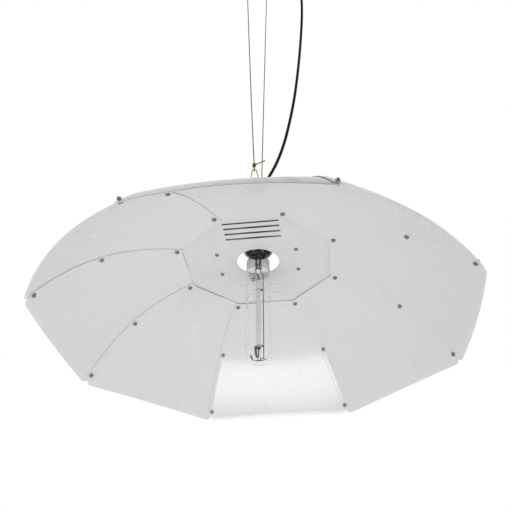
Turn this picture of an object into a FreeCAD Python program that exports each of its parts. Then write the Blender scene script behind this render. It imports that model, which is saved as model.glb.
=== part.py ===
import FreeCAD, Part
import math
import os

V = FreeCAD.Vector

# Hanging octagonal grow lamp, in millimetres. The origin lies in the ceiling plane, midway
# between the two ceiling hooks. Heights named _H are measured up from the plane of the rim
# screws, which lies RIM_DROP below the ceiling.
RIM_DROP = 1290.0

# Reflector: a flat cap and eight sheet petals, screwed together along eight seams.
SIDES = 8
CAP_SCREW_R = 167.0          # seam screw circles: radius, and height above the rim screws
CAP_SCREW_H = 145.7
MID_SCREW_R = 309.0
MID_SCREW_H = 98.6
RIM_SCREW_R = 415.0
SHEET_T = 1.0
SHEET_GAP = 0.5              # air between lapped sheets
PETAL_TOP_MARGIN = 10.0      # petal beyond its first and its last screw, along the radius
PETAL_RIM_MARGIN = 13.0
# How far the middle of each petal's rim stands out of the straight chord, petals 1 to 8.
PETAL_BULGES = (13.0, 13.0, 13.0, 13.0, 13.0, 24.0, 13.0, 21.0)
LAP = 9.0                    # how far each petal runs past its seam
CORNER_CUT = 10.0            # height of the cut corner at the rim

# Cap: eight-sided plate with a shallow skirt, a lamp hole and two rows of air slots.
CAP_FLAT_R = 132.0
CAP_EDGE_MARGIN = 14.0       # skirt beyond the seam screws
LAMP_HOLE_R = 43.0
SLOT_LENGTH = 109.0
SLOT_WIDTH = 5.0
SLOT_PITCH = 16.0
SLOT_FIRST_Y = 80.0
SLOTS_PER_ROW = 4
HOOD_RISE = 4.0              # pressed hood over each slot, open on the side of the lamp
HOOD_REACH = 5.0
HOLE_HEIGHT = 400.0          # any upright cutter longer than the part

# Seam hardware, M4.
SCREW_R = 2.0
SCREW_HOLE_CLEARANCE = 0.25
HEAD_R = 3.9
HEAD_T = 2.4
WASHER_R = 4.5
WASHER_T = 0.8
NUT_R = 4.0
NUT_T = 3.0
THREAD_PROUD = 2.0
NUT_SEAT = 0.15              # air under each seam nut
WASHER_LIFT = 0.25           # air between a washer and the crease it spans

# Bracket that bridges the lamp hole and carries the lampholder.
BRACKET_T = 2.0
BRACKET_DECK_H = 256.0       # underside of the deck, where the holder is screwed
BRACKET_HALF_X = 68.0
BRACKET_FOOT_X = 92.0
BRACKET_HALF_Y = 50.0
BRACKET_SCREW_X = 79.5
BRACKET_SCREW_Y = 34.0
DECK_OPENING_X = 9.0
DECK_OPENING_Y = 20.0
DECK_TOP_H = BRACKET_DECK_H + BRACKET_T
EARTH_X = 22.0
EARTH_Y = 14.0
EARTH_LUG_R = 4.2
EARTH_LUG_T = 1.2

# E40 lampholder.
HOLDER_MOUTH_H = 176.0
HOLDER_R = 28.5
HOLDER_LIP_R = 30.0
HOLDER_LIP_T = 9.0
HOLDER_BORE_R = 21.4
SHELL_OUTER_R = 21.2
SHELL_INNER_R = 20.2
SHELL_DEPTH = 40.0
HOLDER_SCREW_X = 16.0
HOLDER_SCREW_R = 2.5
HOLDER_SCREW_DEPTH = 12.0
FIT_CLEARANCE = 0.05
TERMINAL_Y = 14.0
TERMINAL_SIDE = 8.0
TERMINAL_DEPTH = 6.0
TERMINAL_TOP_H = BRACKET_DECK_H + 4.0
SHELL_TOP_H = HOLDER_MOUTH_H + SHELL_DEPTH
SHELL_GAP = 0.2              # between the shell's end and the porcelain
SHELL_LIP = 3.0              # porcelain below the shell, and shell round the bush
HOLDER_CHAMFER = 4.0
HOLDER_SHOULDER = 6.0
MOUNT_HEAD_GROWTH = 0.6      # M5 heads are this much larger than M4 ones

# Sprung centre contact of the holder.
PLUNGER_R = 5.0
PLUNGER_HEAD_R = 7.0
PLUNGER_TRAVEL = 4.0
BUSH_R = 9.0
SPRING_R = 3.6
SPRING_WIRE = 0.9
SPRING_TURNS = 5
SPRING_ROOM = 1.4            # bush bore outside the spring and the plunger's head
BUSH_STEP = 4.0
BUSH_DEPTH = 13.8            # bush above its step

# Lamp: tubular high-pressure sodium, E40 cap.
GLASS_R = 24.0
GLASS_T = 1.2
LAMP_TIP_H = -83.0
LAMP_SHOULDER_H = 146.0
LAMP_NECK_R = 18.0
LAMP_NECK_H = 162.0
CAP_SHELL_R = 19.75
CAP_SHELL_T = 0.6
CAP_THREAD_DEPTH = 0.9
CAP_PITCH = 6.35
CAP_SHELL_BOTTOM_H = 168.0
CAP_SHELL_TOP_H = 206.0
LAMP_CONTACT_H = 213.0
LAMP_CONTACT_R = 6.5
LAMP_CONTACT_T = 3.0
CAP_BORE_R = CAP_SHELL_R - CAP_THREAD_DEPTH - CAP_SHELL_T
BUSH_LOW_H = LAMP_CONTACT_H + PLUNGER_TRAVEL + 1.0
BUSH_TOP_H = BUSH_LOW_H + 8.0
STEM_TOP_H = CAP_SHELL_BOTTOM_H + 12.0
STEM_PINCH_H = 134.0
STEM_PINCH_HEIGHT = 14.0
STEM_R = 6.0
ARC_R = 4.8
ARC_BOTTOM_H = -46.0
ARC_TOP_H = 104.0
FRAME_X = 9.5
FRAME_WIRE_R = 0.9
LEAD_X = 5.0                 # the two lead wires leave the stem's pinch here
LEAD_DROP = 8.0
PIN_REACH = 7.0              # niobium pins beyond the arc tube's plugs
FRAME_LOW_H = LAMP_TIP_H + 14.0
STRAP_ANGLES = (20, 140, 260)

# Wiring cover on the bracket and its cable gland.
COVER_X = 60.0
COVER_Y = 50.0
COVER_T = 2.0
COVER_HEIGHT = 34.0
COVER_TAB = 14.0
COVER_SCREW_X = 38.0
GLAND_R = 8.0
GLAND_HEX_R = 11.0
CORE_D = 2.2
CORE_START = 28.0            # the cores leave the sheath this far below the gland's end
COVER_CORNER = 6.0
COVER_EDGE = 3.0
COVER_TAB_HALF = 9.0
GLAND_HEX_T = 6.0
GLAND_CONE = 12.0
GLAND_TAIL = 8.0             # gland thread inside the cover
LOCKNUT_T = 5.0

# Hanging: two wire bails, two cords, two ceiling hooks.
BAIL_WIRE = 2.0
BAIL_FOOT_X = 22.0
BAIL_FOOT_Y = 44.0
BAIL_APEX_Y = 64.0
BAIL_APEX_H = 349.0
BAIL_APEX_HALF = 4.0
CORD_D = 2.5
KNOT_WALL = 0.5
KNOT_LENGTH = 9.0
KNOT_DISTANCE = 9.0          # wire centre to the near face of the knot
HOOK_X = 24.0
HOOK_WIRE = 4.5
HOOK_RING_R = 13.0
HOOK_STEM = 12.0
HOOK_THREAD_R = 2.5
HOOK_THREAD_LENGTH = 25.0
HOOK_PLATE_R = 9.0
HOOK_PLATE_T = 2.0
LOOP_CLEARANCE = 0.3
HOOK_AXIS_Z = -(HOOK_STEM + 2 * HOOK_RING_R)
CORD_MIDDLES = {-1: (-7.5, -64, 565), 1: (7.0, 64, 640)}

# Mains cable: its points stay as chosen, measured from the lamp's axis and the rim screws.
CABLE_D = 7.0
CABLE_POINTS = [
    (0, 0, 302), (0, 0, 338), (20, 0, 374), (44, 0, 425), (64, 0, 492), (79, 0, 566),
    (92, 0, 641), (102, 0, 720), (111, 0, 802), (118.5, 0, 884), (125, -1, 966), (129, -3, 1046),
    (127, -10, 1116), (106, -27, 1172), (66, -45, 1200), (22, -55, 1196)]
COIL_X = 19.0
COIL_Y = -46.0
COIL_H = 1150.0
COIL_MID_R = 40.0
COIL_LAYERS = 3
COIL_ROWS = 4
TAIL_POINTS = [(-28, -35.5, 1148), (-29, -36, 1124), (-28, -38, 1100)]
PLUG_SIDE_X = 22.0
PLUG_SIDE_Y = 16.0
PLUG_LENGTH = 34.0
PLUG_NECK = 8.0
PIN_LENGTH = 12.0
TIE_T = 1.2
TIE_GAP = 0.8
TIE_HALF = 5.0


def up(height):
    return height - RIM_DROP


def at(point):
    return V(point[0], point[1], up(point[2]))


def rod(radius, low, high, x=0.0, y=0.0):
    return Part.makeCylinder(radius, high - low, V(x, y, up(low)))


def ring(outer, inner, low, high, x=0.0, y=0.0):
    return rod(outer, low, high, x, y).cut(rod(inner, low - 1, high + 1, x, y))


def block(x0, x1, y0, y1, low, high):
    return Part.makeBox(x1 - x0, y1 - y0, high - low, V(x0, y0, up(low)))


def turned(points):
    """Solid of revolution about the lamp's axis from (radius, height) corners."""
    corners = [V(r, 0, up(h)) for r, h in points]
    face = Part.Face(Part.makePolygon(corners + corners[:1]))
    return face.revolve(V(0, 0, 0), V(0, 0, 1), 360)


def save(name, solids):
    if isinstance(solids, list):
        shape = Part.makeCompound(solids) if len(solids) > 1 else solids[0]
    else:
        shape = solids
    if not shape.isValid() or shape.Volume <= 0:
        print("BAD SHAPE", name)
    shape.exportStep("parts/" + name + ".step")


# ---------------------------------------------------------------- paths and tubes

def rounded_path(points, radius=None):
    """Straight runs joined by tangent arcs; returns the wire and the radii."""
    edges = []
    radii = []
    start = points[0]
    for before, corner, after in zip(points, points[1:], points[2:]):
        come = (corner - before).normalize()
        go = (after - corner).normalize()
        half_turn = math.acos(max(-1.0, min(1.0, come.dot(go)))) / 2
        shorter = min((corner - before).Length, (after - corner).Length)
        arc_r = radius if radius else 0.45 * shorter / math.tan(half_turn)
        reach = arc_r * math.tan(half_turn)
        enter = corner - come * reach
        leave = corner + go * reach
        middle = corner + (go - come).normalize() * (arc_r / math.cos(half_turn) - arc_r)
        edges.append(Part.LineSegment(start, enter).toShape())
        edges.append(Part.Arc(enter, middle, leave).toShape())
        radii.append(arc_r)
        start = leave
    edges.append(Part.LineSegment(start, points[-1]).toShape())
    return Part.Wire(edges), radii


def swept(wire, start, direction, diameter):
    circle = Part.Wire(Part.Circle(start, direction, diameter / 2).toShape())
    return wire.makePipeShell([circle], True, False)


def wire_form(points, diameter, radius):
    path, _ = rounded_path(points, radius)
    return swept(path, points[0], points[1] - points[0], diameter)


def cord_tube(name, points, diameter):
    path, radii = rounded_path(points)
    solid = swept(path, points[0], points[1] - points[0], diameter)
    expected = math.pi * diameter ** 2 / 4 * path.Length
    print(name, "length %.0f" % path.Length, "least radius %.1f" % min(radii),
          "volume/expected %.4f" % (solid.Volume / expected))
    print("   radii", " ".join("%.0f" % r for r in radii))
    return solid


# ---------------------------------------------------------------- reflector

HALF = math.pi / SIDES


def dish_terms():
    """Height h = top - a r^2 - b r^4 through the three screw circles."""
    drop_mid = CAP_SCREW_H - MID_SCREW_H
    drop_rim = CAP_SCREW_H
    p2, p4 = MID_SCREW_R ** 2 - CAP_SCREW_R ** 2, MID_SCREW_R ** 4 - CAP_SCREW_R ** 4
    q2, q4 = RIM_SCREW_R ** 2 - CAP_SCREW_R ** 2, RIM_SCREW_R ** 4 - CAP_SCREW_R ** 4
    det = p2 * q4 - p4 * q2
    a = (drop_mid * q4 - p4 * drop_rim) / det
    b = (p2 * drop_rim - drop_mid * q2) / det
    return CAP_SCREW_H + a * CAP_SCREW_R ** 2 + b * CAP_SCREW_R ** 4, a, b


DISH_TOP, DISH_A, DISH_B = dish_terms()
PETAL_START_R = CAP_SCREW_R - PETAL_TOP_MARGIN
PETAL_END_R = RIM_SCREW_R + PETAL_RIM_MARGIN


def dish_height(r):
    return DISH_TOP - DISH_A * r ** 2 - DISH_B * r ** 4


def dish_normal(r, angle):
    """Outward normal of the dish in the plane of the given angle."""
    slope = 2 * DISH_A * r + 4 * DISH_B * r ** 3
    size = math.hypot(slope, 1)
    return V(slope * math.cos(angle) / size, slope * math.sin(angle) / size, 1 / size)


def bulge(r, petal):
    share = (r - PETAL_START_R) / (PETAL_END_R - PETAL_START_R)
    return PETAL_BULGES[petal % SIDES] * share ** 2


def panel_point(r, across, petal):
    """A point of a petal laid round +X; across runs from -1 at one seam to 1 at the other."""
    chord = V(r * math.cos(HALF), across * r * math.sin(HALF), up(dish_height(r)))
    return chord + dish_normal(r, 0) * bulge(r, petal) * (1 - across ** 2)


def panel_frame(r, across, petal):
    """Point and outward normal, carried on to the neighbour's panel past a seam."""
    turn = 0
    if across > 1:
        turn, across = 1, across - 2
    elif across < -1:
        turn, across = -1, across + 2
    step = 0.02
    petal += turn
    point = panel_point(r, across, petal)
    along = panel_point(r + step, across, petal) - panel_point(r - step, across, petal)
    over = panel_point(r, across + step, petal) - panel_point(r, across - step, petal)
    normal = over.cross(along).normalize()
    if normal.z < 0:
        normal = normal * -1
    if abs(abs(across) - 1) < 1e-6:
        normal = dish_normal(r, math.copysign(HALF, across))
    spin = FreeCAD.Rotation(V(0, 0, 1), math.degrees(2 * HALF * turn))
    return spin.multVec(point), spin.multVec(normal)


def petal_rows(petal, depth):
    """Grid of points; the petal is the outer layer at one seam and the inner at the other."""
    rows = []
    count = 13
    for i in range(count):
        r = PETAL_START_R + (PETAL_END_R - PETAL_START_R) * i / (count - 1)
        chord = r * math.sin(HALF)
        near = [-LAP, -LAP / 2, 0, LAP / 2, LAP]
        stations = [-1 + d / chord for d in near]
        stations += [-0.6, -0.3, 0, 0.3, 0.6]
        stations += [1 + d / chord for d in near]
        row = []
        for across in stations:
            point, normal = panel_frame(r, across, petal)
            share = max(0.0, min(1.0, (across + 1) / 2))
            share = share * share * (3 - 2 * share)
            row.append(point - normal * (share * (SHEET_T + SHEET_GAP) + depth))
        rows.append(row)
    return rows


def skin(petal, depth):
    surface = Part.BSplineSurface()
    surface.interpolate(petal_rows(petal, depth))
    return surface


def petal_blank(petal):
    outer = skin(petal, 0)
    inner = skin(petal, SHEET_T)
    outer_face = outer.toShape()
    inner_face = inner.toShape()
    sides = []
    for get in ((lambda s: s.uIso(s.bounds()[0])), (lambda s: s.uIso(s.bounds()[1])),
                (lambda s: s.vIso(s.bounds()[2])), (lambda s: s.vIso(s.bounds()[3]))):
        sides.append(Part.makeRuledSurface(get(outer).toShape(), get(inner).toShape()))
    shell = Part.Shell([outer_face, inner_face] + sides)
    shell.sewShape()
    solid = Part.Solid(shell)
    if solid.Volume < 0:
        solid.reverse()
    return solid


def corner_cutter(side):
    """Prism that cuts a petal's corner at the rim, so that two petals leave a notch."""
    angle = HALF * side
    normal = dish_normal(PETAL_END_R, angle)
    point = V(PETAL_END_R * math.cos(angle), PETAL_END_R * math.sin(angle), up(dish_height(PETAL_END_R)))
    across = V(-math.sin(angle), math.cos(angle), 0) * side
    down = normal.cross(across).normalize()
    if down.z > 0:
        down = down * -1
    spare = 6.0
    slope = CORNER_CUT / (2 * LAP)
    inner = point - across * (LAP + spare / slope) + down * spare
    outer = point + across * (LAP + spare) - down * (CORNER_CUT + spare * slope)
    far = point + across * (LAP + spare) + down * spare
    depth = 12.0
    face = Part.Face(Part.makePolygon([p - normal * depth for p in (inner, outer, far, inner)]))
    return face.extrude(normal * (2 * depth))


def screw_frame(r, seam):
    angle = (2 * seam + 1) * HALF
    point = V(r * math.cos(angle), r * math.sin(angle), up(dish_height(r)))
    return point, dish_normal(r, angle)


def seam_hole(r, seam, extra=0.0):
    point, normal = screw_frame(r, seam)
    length = 30.0
    radius = SCREW_R + SCREW_HOLE_CLEARANCE + extra
    return Part.makeCylinder(radius, length, point - normal * (length / 2), normal)


def make_petals():
    cutters = [corner_cutter(side) for side in (-1, 1)]
    for r in (CAP_SCREW_R, MID_SCREW_R, RIM_SCREW_R):
        cutters += [seam_hole(r, seam) for seam in (-1, 0)]
    for k in range(SIDES):
        petal = petal_blank(k).cut(cutters).Solids[0]
        petal.rotate(V(0, 0, 0), V(0, 0, 1), 360.0 * k / SIDES)
        save("petal_%d" % (k + 1), petal)


def octagon(r, height):
    return [V(r * math.cos((2 * k + 1) * HALF), r * math.sin((2 * k + 1) * HALF), up(height))
            for k in range(SIDES)]


CAP_SLOPE = 2 * DISH_A * CAP_SCREW_R + 4 * DISH_B * CAP_SCREW_R ** 3
CAP_EDGE_R = CAP_SCREW_R + CAP_EDGE_MARGIN
CAP_LIFT = SHEET_GAP
CAP_FLAT_H = CAP_SCREW_H + CAP_LIFT + (CAP_SCREW_R - CAP_FLAT_R) * CAP_SLOPE
CAP_EDGE_H = CAP_SCREW_H + CAP_LIFT - CAP_EDGE_MARGIN * CAP_SLOPE
CAP_TOP_H = CAP_FLAT_H + SHEET_T


def cap_slot(y):
    half = SLOT_LENGTH / 2 - SLOT_WIDTH / 2
    low, high = CAP_EDGE_H - 10, CAP_TOP_H + 10
    body = block(-half, half, y - SLOT_WIDTH / 2, y + SLOT_WIDTH / 2, low, high)
    for x in (-half, half):
        body = body.fuse(rod(SLOT_WIDTH / 2, low, high, x, y))
    return body


def cap_surface(y):
    """Height of the cap's upper side above a point on the middle of a flat side."""
    flat_half = CAP_FLAT_R * math.cos(HALF)
    slope = (CAP_FLAT_H - CAP_EDGE_H) / ((CAP_EDGE_R - CAP_FLAT_R) * math.cos(HALF))
    return CAP_TOP_H - max(0.0, abs(y) - flat_half) * slope


def slot_hood(y):
    inward = -math.copysign(1, y)
    near = y - inward * SLOT_WIDTH / 2
    far = y + inward * (SLOT_WIDTH / 2 + HOOD_REACH)
    base = min(cap_surface(near), cap_surface(far)) - SHEET_T / 2
    rise = HOOD_RISE + SHEET_T / 2
    low_x = -SLOT_LENGTH / 2 - SHEET_T

    def prism(outline, x, length):
        corners = [V(x, a, up(base + b)) for a, b in outline]
        return Part.Face(Part.makePolygon(corners + corners[:1])).extrude(V(length, 0, 0))

    hinge = near - inward * SHEET_T
    flap = [(hinge, 0), (hinge, SHEET_T), (far, rise + SHEET_T), (far, rise), (near, 0)]
    gusset = [(near, 0), (far, rise), (far, 0)]
    hood = prism(flap, low_x, SLOT_LENGTH + 2 * SHEET_T)
    for x in (low_x, SLOT_LENGTH / 2):
        hood = hood.fuse(prism(gusset, x, SHEET_T))
    return hood


def make_cap():
    faces = []
    for lift in (0, SHEET_T):
        flat = octagon(CAP_FLAT_R, CAP_FLAT_H + lift)
        edge = octagon(CAP_EDGE_R, CAP_EDGE_H + lift)
        faces.append(Part.Face(Part.makePolygon(flat + flat[:1])))
        for k in range(SIDES):
            n = (k + 1) % SIDES
            faces.append(Part.Face(Part.makePolygon([flat[k], edge[k], edge[n], flat[n], flat[k]])))
    low = octagon(CAP_EDGE_R, CAP_EDGE_H)
    high = octagon(CAP_EDGE_R, CAP_EDGE_H + SHEET_T)
    for k in range(SIDES):
        n = (k + 1) % SIDES
        faces.append(Part.Face(Part.makePolygon([low[k], high[k], high[n], low[n], low[k]])))
    shell = Part.Shell(faces)
    shell.sewShape()
    plate = Part.Solid(shell)
    if plate.Volume < 0:
        plate.reverse()
    plate = plate.cut(rod(LAMP_HOLE_R, 0, HOLE_HEIGHT))
    for i in range(SLOTS_PER_ROW):
        for side in (-1, 1):
            y = side * (SLOT_FIRST_Y + i * SLOT_PITCH)
            plate = plate.cut(cap_slot(y)).fuse(slot_hood(y))
    for x, y in bracket_screw_places():
        plate = plate.cut(rod(SCREW_R + SCREW_HOLE_CLEARANCE, 0, HOLE_HEIGHT, x, y))
    for seam in range(SIDES):
        plate = plate.cut(seam_hole(CAP_SCREW_R, seam))
    save("cap_plate", plate)


# ---------------------------------------------------------------- fasteners

def hexagon(radius, length, place, direction):
    solid = Part.makeCylinder(radius * 2, length)
    corners = [V(radius * math.cos(math.radians(60 * k)), radius * math.sin(math.radians(60 * k)), 0)
               for k in range(6)]
    prism = Part.Face(Part.makePolygon(corners + corners[:1])).extrude(V(0, 0, length))
    solid = solid.common(prism)
    solid.Placement = FreeCAD.Placement(place, FreeCAD.Rotation(V(0, 0, 1), direction))
    return solid


def pan_screw(under_head, direction, shank, screw_r=SCREW_R, head_r=HEAD_R, head_t=HEAD_T):
    """Cross-slot pan head whose shank runs along direction from the head's underside."""
    head = Part.makeCylinder(head_r, head_t, V(0, 0, -head_t))
    head = head.makeFillet(head_t * 0.45, [head.Edges[i] for i in range(len(head.Edges))
                                           if abs(head.Edges[i].CenterOfMass.z + head_t) < 1e-6
                                           and head.Edges[i].Length > head_r])
    depth = head_t * 0.5
    width = head_r * 0.28
    for a, b in ((head_r, width), (width, head_r)):
        slot = Part.makeBox(a, b, depth + 1, V(-a / 2, -b / 2, -head_t - 1))
        head = head.cut(slot)
    screw = head.fuse(Part.makeCylinder(screw_r, shank))
    screw.Placement = FreeCAD.Placement(under_head, FreeCAD.Rotation(V(0, 0, 1), direction))
    return screw


def washer(place, direction):
    solid = Part.makeCylinder(WASHER_R, WASHER_T, place, direction)
    return solid.cut(Part.makeCylinder(SCREW_R + 0.2, 3 * WASHER_T, place - direction * WASHER_T, direction))


def nut(place, direction):
    solid = hexagon(NUT_R, NUT_T, place, direction)
    bore = Part.makeCylinder(SCREW_R + FIT_CLEARANCE, 3 * NUT_T, place - direction * NUT_T, direction)
    return solid.cut(bore)


def seam_standoff(r):
    """How far the washer's rim lifts it off the crease between two petals."""
    slope = 2 * DISH_A * r + 4 * DISH_B * r ** 3
    least = min(bulge(r, k) for k in range(SIDES))
    crease = math.sin(HALF) * slope / math.hypot(slope, 1) - 2 * least / (r * math.sin(HALF))
    return WASHER_R * max(crease, 0) + WASHER_LIFT


def make_seam_hardware():
    washers = []
    for name, r in (("cap", CAP_SCREW_R), ("mid", MID_SCREW_R), ("rim", RIM_SCREW_R)):
        screws = []
        nuts = []
        stack_out = CAP_LIFT + SHEET_T + NUT_SEAT if name == "cap" else NUT_SEAT
        for seam in range(SIDES):
            point, normal = screw_frame(r, seam)
            inside = point - normal * (2 * SHEET_T + SHEET_GAP + seam_standoff(r))
            under_head = inside - normal * WASHER_T
            seat = point + normal * stack_out
            shank = (seat - under_head).Length + NUT_T + THREAD_PROUD
            washers.append(washer(under_head, normal))
            screws.append(pan_screw(under_head, normal, shank))
            nuts.append(nut(seat, normal))
        save(name + "_seam_screws", screws)
        save(name + "_seam_nuts", nuts)
    save("seam_washers", washers)


def bracket_screw_places():
    return [(sx * BRACKET_SCREW_X, sy * BRACKET_SCREW_Y) for sx in (-1, 1) for sy in (-1, 1)]


# ---------------------------------------------------------------- bracket and cover

def make_bracket():
    t = BRACKET_T
    foot = CAP_TOP_H
    right = [(BRACKET_FOOT_X, foot), (BRACKET_FOOT_X, foot + t), (BRACKET_HALF_X, foot + t),
             (BRACKET_HALF_X, DECK_TOP_H)]
    inner = [(BRACKET_HALF_X - t, BRACKET_DECK_H), (BRACKET_HALF_X - t, foot)]
    outline = inner[::-1] + [(-x, h) for x, h in inner]
    outline += [(-x, h) for x, h in right] + right[::-1]
    corners = [V(x, -BRACKET_HALF_Y, up(h)) for x, h in outline]
    bracket = Part.Face(Part.makePolygon(corners + corners[:1])).extrude(V(0, 2 * BRACKET_HALF_Y, 0))
    for x, y in bracket_screw_places():
        bracket = bracket.cut(rod(SCREW_R + SCREW_HOLE_CLEARANCE, 0, HOLE_HEIGHT, x, y))
    high = DECK_TOP_H + 5
    low = BRACKET_DECK_H - 5
    bracket = bracket.cut(block(-DECK_OPENING_X, DECK_OPENING_X, -DECK_OPENING_Y, DECK_OPENING_Y, low, high))
    for x in (-1, 1):
        bracket = bracket.cut(rod(HOLDER_SCREW_R + SCREW_HOLE_CLEARANCE, low, high, x * HOLDER_SCREW_X))
        bracket = bracket.cut(rod(SCREW_R + FIT_CLEARANCE, low, high, x * COVER_SCREW_X))
        for y in (-1, 1):
            bracket = bracket.cut(rod(BAIL_WIRE * 1.3, low, high, x * BAIL_FOOT_X, y * BAIL_FOOT_Y))
    bracket = bracket.cut(rod(SCREW_R + FIT_CLEARANCE, low, high, EARTH_X, EARTH_Y))
    save("holder_bracket", bracket)
    screws = []
    nuts = []
    for x, y in bracket_screw_places():
        screws.append(pan_screw(at((x, y, CAP_FLAT_H)), V(0, 0, 1), SHEET_T + t + NUT_T + THREAD_PROUD))
        nuts.append(nut(at((x, y, CAP_TOP_H + t)), V(0, 0, 1)))
    save("bracket_screws", screws)
    save("bracket_nuts", nuts)


def make_cover():
    hx, hy = COVER_X / 2, COVER_Y / 2
    top = DECK_TOP_H + COVER_HEIGHT
    shell = block(-hx, hx, -hy, hy, DECK_TOP_H, top)
    upright = [e for e in shell.Edges if abs(e.Vertexes[0].Z - e.Vertexes[1].Z) > 1]
    shell = shell.makeFillet(COVER_CORNER, upright)
    roof = [e for e in shell.Edges if abs(e.CenterOfMass.z - up(top)) < 1e-6]
    shell = shell.makeFillet(COVER_EDGE, roof)
    tabs = block(-hx - COVER_TAB, hx + COVER_TAB, -COVER_TAB_HALF, COVER_TAB_HALF,
                 DECK_TOP_H, DECK_TOP_H + COVER_T)
    shell = shell.fuse(tabs)
    shell = shell.cut(block(-hx + COVER_T, hx - COVER_T, -hy + COVER_T, hy - COVER_T,
                            DECK_TOP_H - 1, top - COVER_T))
    shell = shell.cut(rod(GLAND_R + 0.2, top - 10, top + 5))
    for x in (-1, 1):
        shell = shell.cut(rod(SCREW_R + SCREW_HOLE_CLEARANCE, DECK_TOP_H - 1, top, x * COVER_SCREW_X))
    save("wiring_cover", shell)
    places = [at((x * COVER_SCREW_X, 0, DECK_TOP_H + COVER_T)) for x in (-1, 1)]
    save("cover_screws", [pan_screw(p, V(0, 0, -1), COVER_T + BRACKET_T + 4) for p in places])
    make_gland(top)


def make_gland(top):
    bore = CABLE_D / 2 + FIT_CLEARANCE
    low = top - COVER_T - GLAND_TAIL
    neck = top + GLAND_HEX_T + 2
    body = rod(GLAND_R, low, neck)
    body = body.fuse(hexagon(GLAND_HEX_R, GLAND_HEX_T, at((0, 0, top)), V(0, 0, 1)))
    cone = Part.makeCone(GLAND_R + 1.5, CABLE_D / 2 + 1.5, GLAND_CONE, at((0, 0, neck)))
    body = body.fuse(cone).cut(rod(bore, low - 1, neck + 2 * GLAND_CONE))
    save("cable_gland", body)
    nut_low = top - COVER_T - LOCKNUT_T
    lock = hexagon(GLAND_HEX_R, LOCKNUT_T, at((0, 0, nut_low)), V(0, 0, 1))
    save("gland_locknut", lock.cut(rod(GLAND_R + FIT_CLEARANCE, nut_low - 1, top)))


def make_cores():
    start_h = CABLE_POINTS[0][2] - CORE_START
    for name, x, y, goal in (("live_core", 0.0, 1.5, (0, TERMINAL_Y, TERMINAL_TOP_H)),
                             ("neutral_core", 0.0, -1.5, (0, -TERMINAL_Y, TERMINAL_TOP_H)),
                             ("earth_core", 1.9, 0.0, (EARTH_X, EARTH_Y, DECK_TOP_H + 4.6))):
        points = [(x, y, start_h), (x * 1.3, y * 1.3, start_h - 5),
                  (goal[0] * 0.9 + x, goal[1] * 0.9, goal[2] + 9),
                  (goal[0], goal[1], goal[2] + 0.1)]
        save(name, wire_form([at(p) for p in points], CORE_D, 2.4))


# ---------------------------------------------------------------- lampholder

def make_holder():
    mouth = HOLDER_MOUTH_H
    well_top = BUSH_TOP_H + BUSH_DEPTH + SHELL_GAP
    well_r = BUSH_R + 2 * FIT_CLEARANCE
    body = turned([(HOLDER_BORE_R, mouth), (HOLDER_LIP_R - 1, mouth), (HOLDER_LIP_R, mouth + 1),
                   (HOLDER_LIP_R, mouth + HOLDER_LIP_T), (HOLDER_R, mouth + HOLDER_LIP_T + 2),
                   (HOLDER_R, BRACKET_DECK_H - HOLDER_SHOULDER), (HOLDER_R - HOLDER_CHAMFER, BRACKET_DECK_H),
                   (0, BRACKET_DECK_H), (0, well_top), (well_r, well_top), (well_r, SHELL_TOP_H + SHELL_GAP),
                   (HOLDER_BORE_R, SHELL_TOP_H + SHELL_GAP)])
    for x in (-1, 1):
        body = body.cut(rod(HOLDER_SCREW_R + FIT_CLEARANCE, BRACKET_DECK_H - HOLDER_SCREW_DEPTH,
                            BRACKET_DECK_H + 1, x * HOLDER_SCREW_X))
    half = TERMINAL_SIDE / 2 + 0.2
    for y in (-TERMINAL_Y, TERMINAL_Y):
        body = body.cut(block(-half, half, y - half, y + half, BRACKET_DECK_H - TERMINAL_DEPTH - 0.1,
                              BRACKET_DECK_H + 1))
    save("holder_body", body)
    save("holder_screw_shell", turned([
        (SHELL_INNER_R, mouth + SHELL_LIP), (SHELL_OUTER_R, mouth + SHELL_LIP), (SHELL_OUTER_R, SHELL_TOP_H),
        (BUSH_R + SHELL_LIP, SHELL_TOP_H), (BUSH_R + SHELL_LIP, SHELL_TOP_H - 1),
        (SHELL_INNER_R, SHELL_TOP_H - 1)]))
    places = [at((x * HOLDER_SCREW_X, 0, DECK_TOP_H)) for x in (-1, 1)]
    save("holder_mount_screws", [pan_screw(p, V(0, 0, -1), BRACKET_T + HOLDER_SCREW_DEPTH - 1,
                                           HOLDER_SCREW_R, HEAD_R + MOUNT_HEAD_GROWTH,
                                           HEAD_T + MOUNT_HEAD_GROWTH) for p in places])
    terminals = []
    half = TERMINAL_SIDE / 2
    for y in (-TERMINAL_Y, TERMINAL_Y):
        box = block(-half, half, y - half, y + half, BRACKET_DECK_H - TERMINAL_DEPTH, TERMINAL_TOP_H)
        terminals.append(box)
    save("holder_terminals", terminals)
    seat = at((EARTH_X, EARTH_Y, DECK_TOP_H + EARTH_LUG_T))
    lug = Part.makeCylinder(EARTH_LUG_R, EARTH_LUG_T, at((EARTH_X, EARTH_Y, DECK_TOP_H)))
    lug = lug.fuse(pan_screw(seat, V(0, 0, -1), EARTH_LUG_T + BRACKET_T))
    save("earth_terminal", lug)


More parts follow.
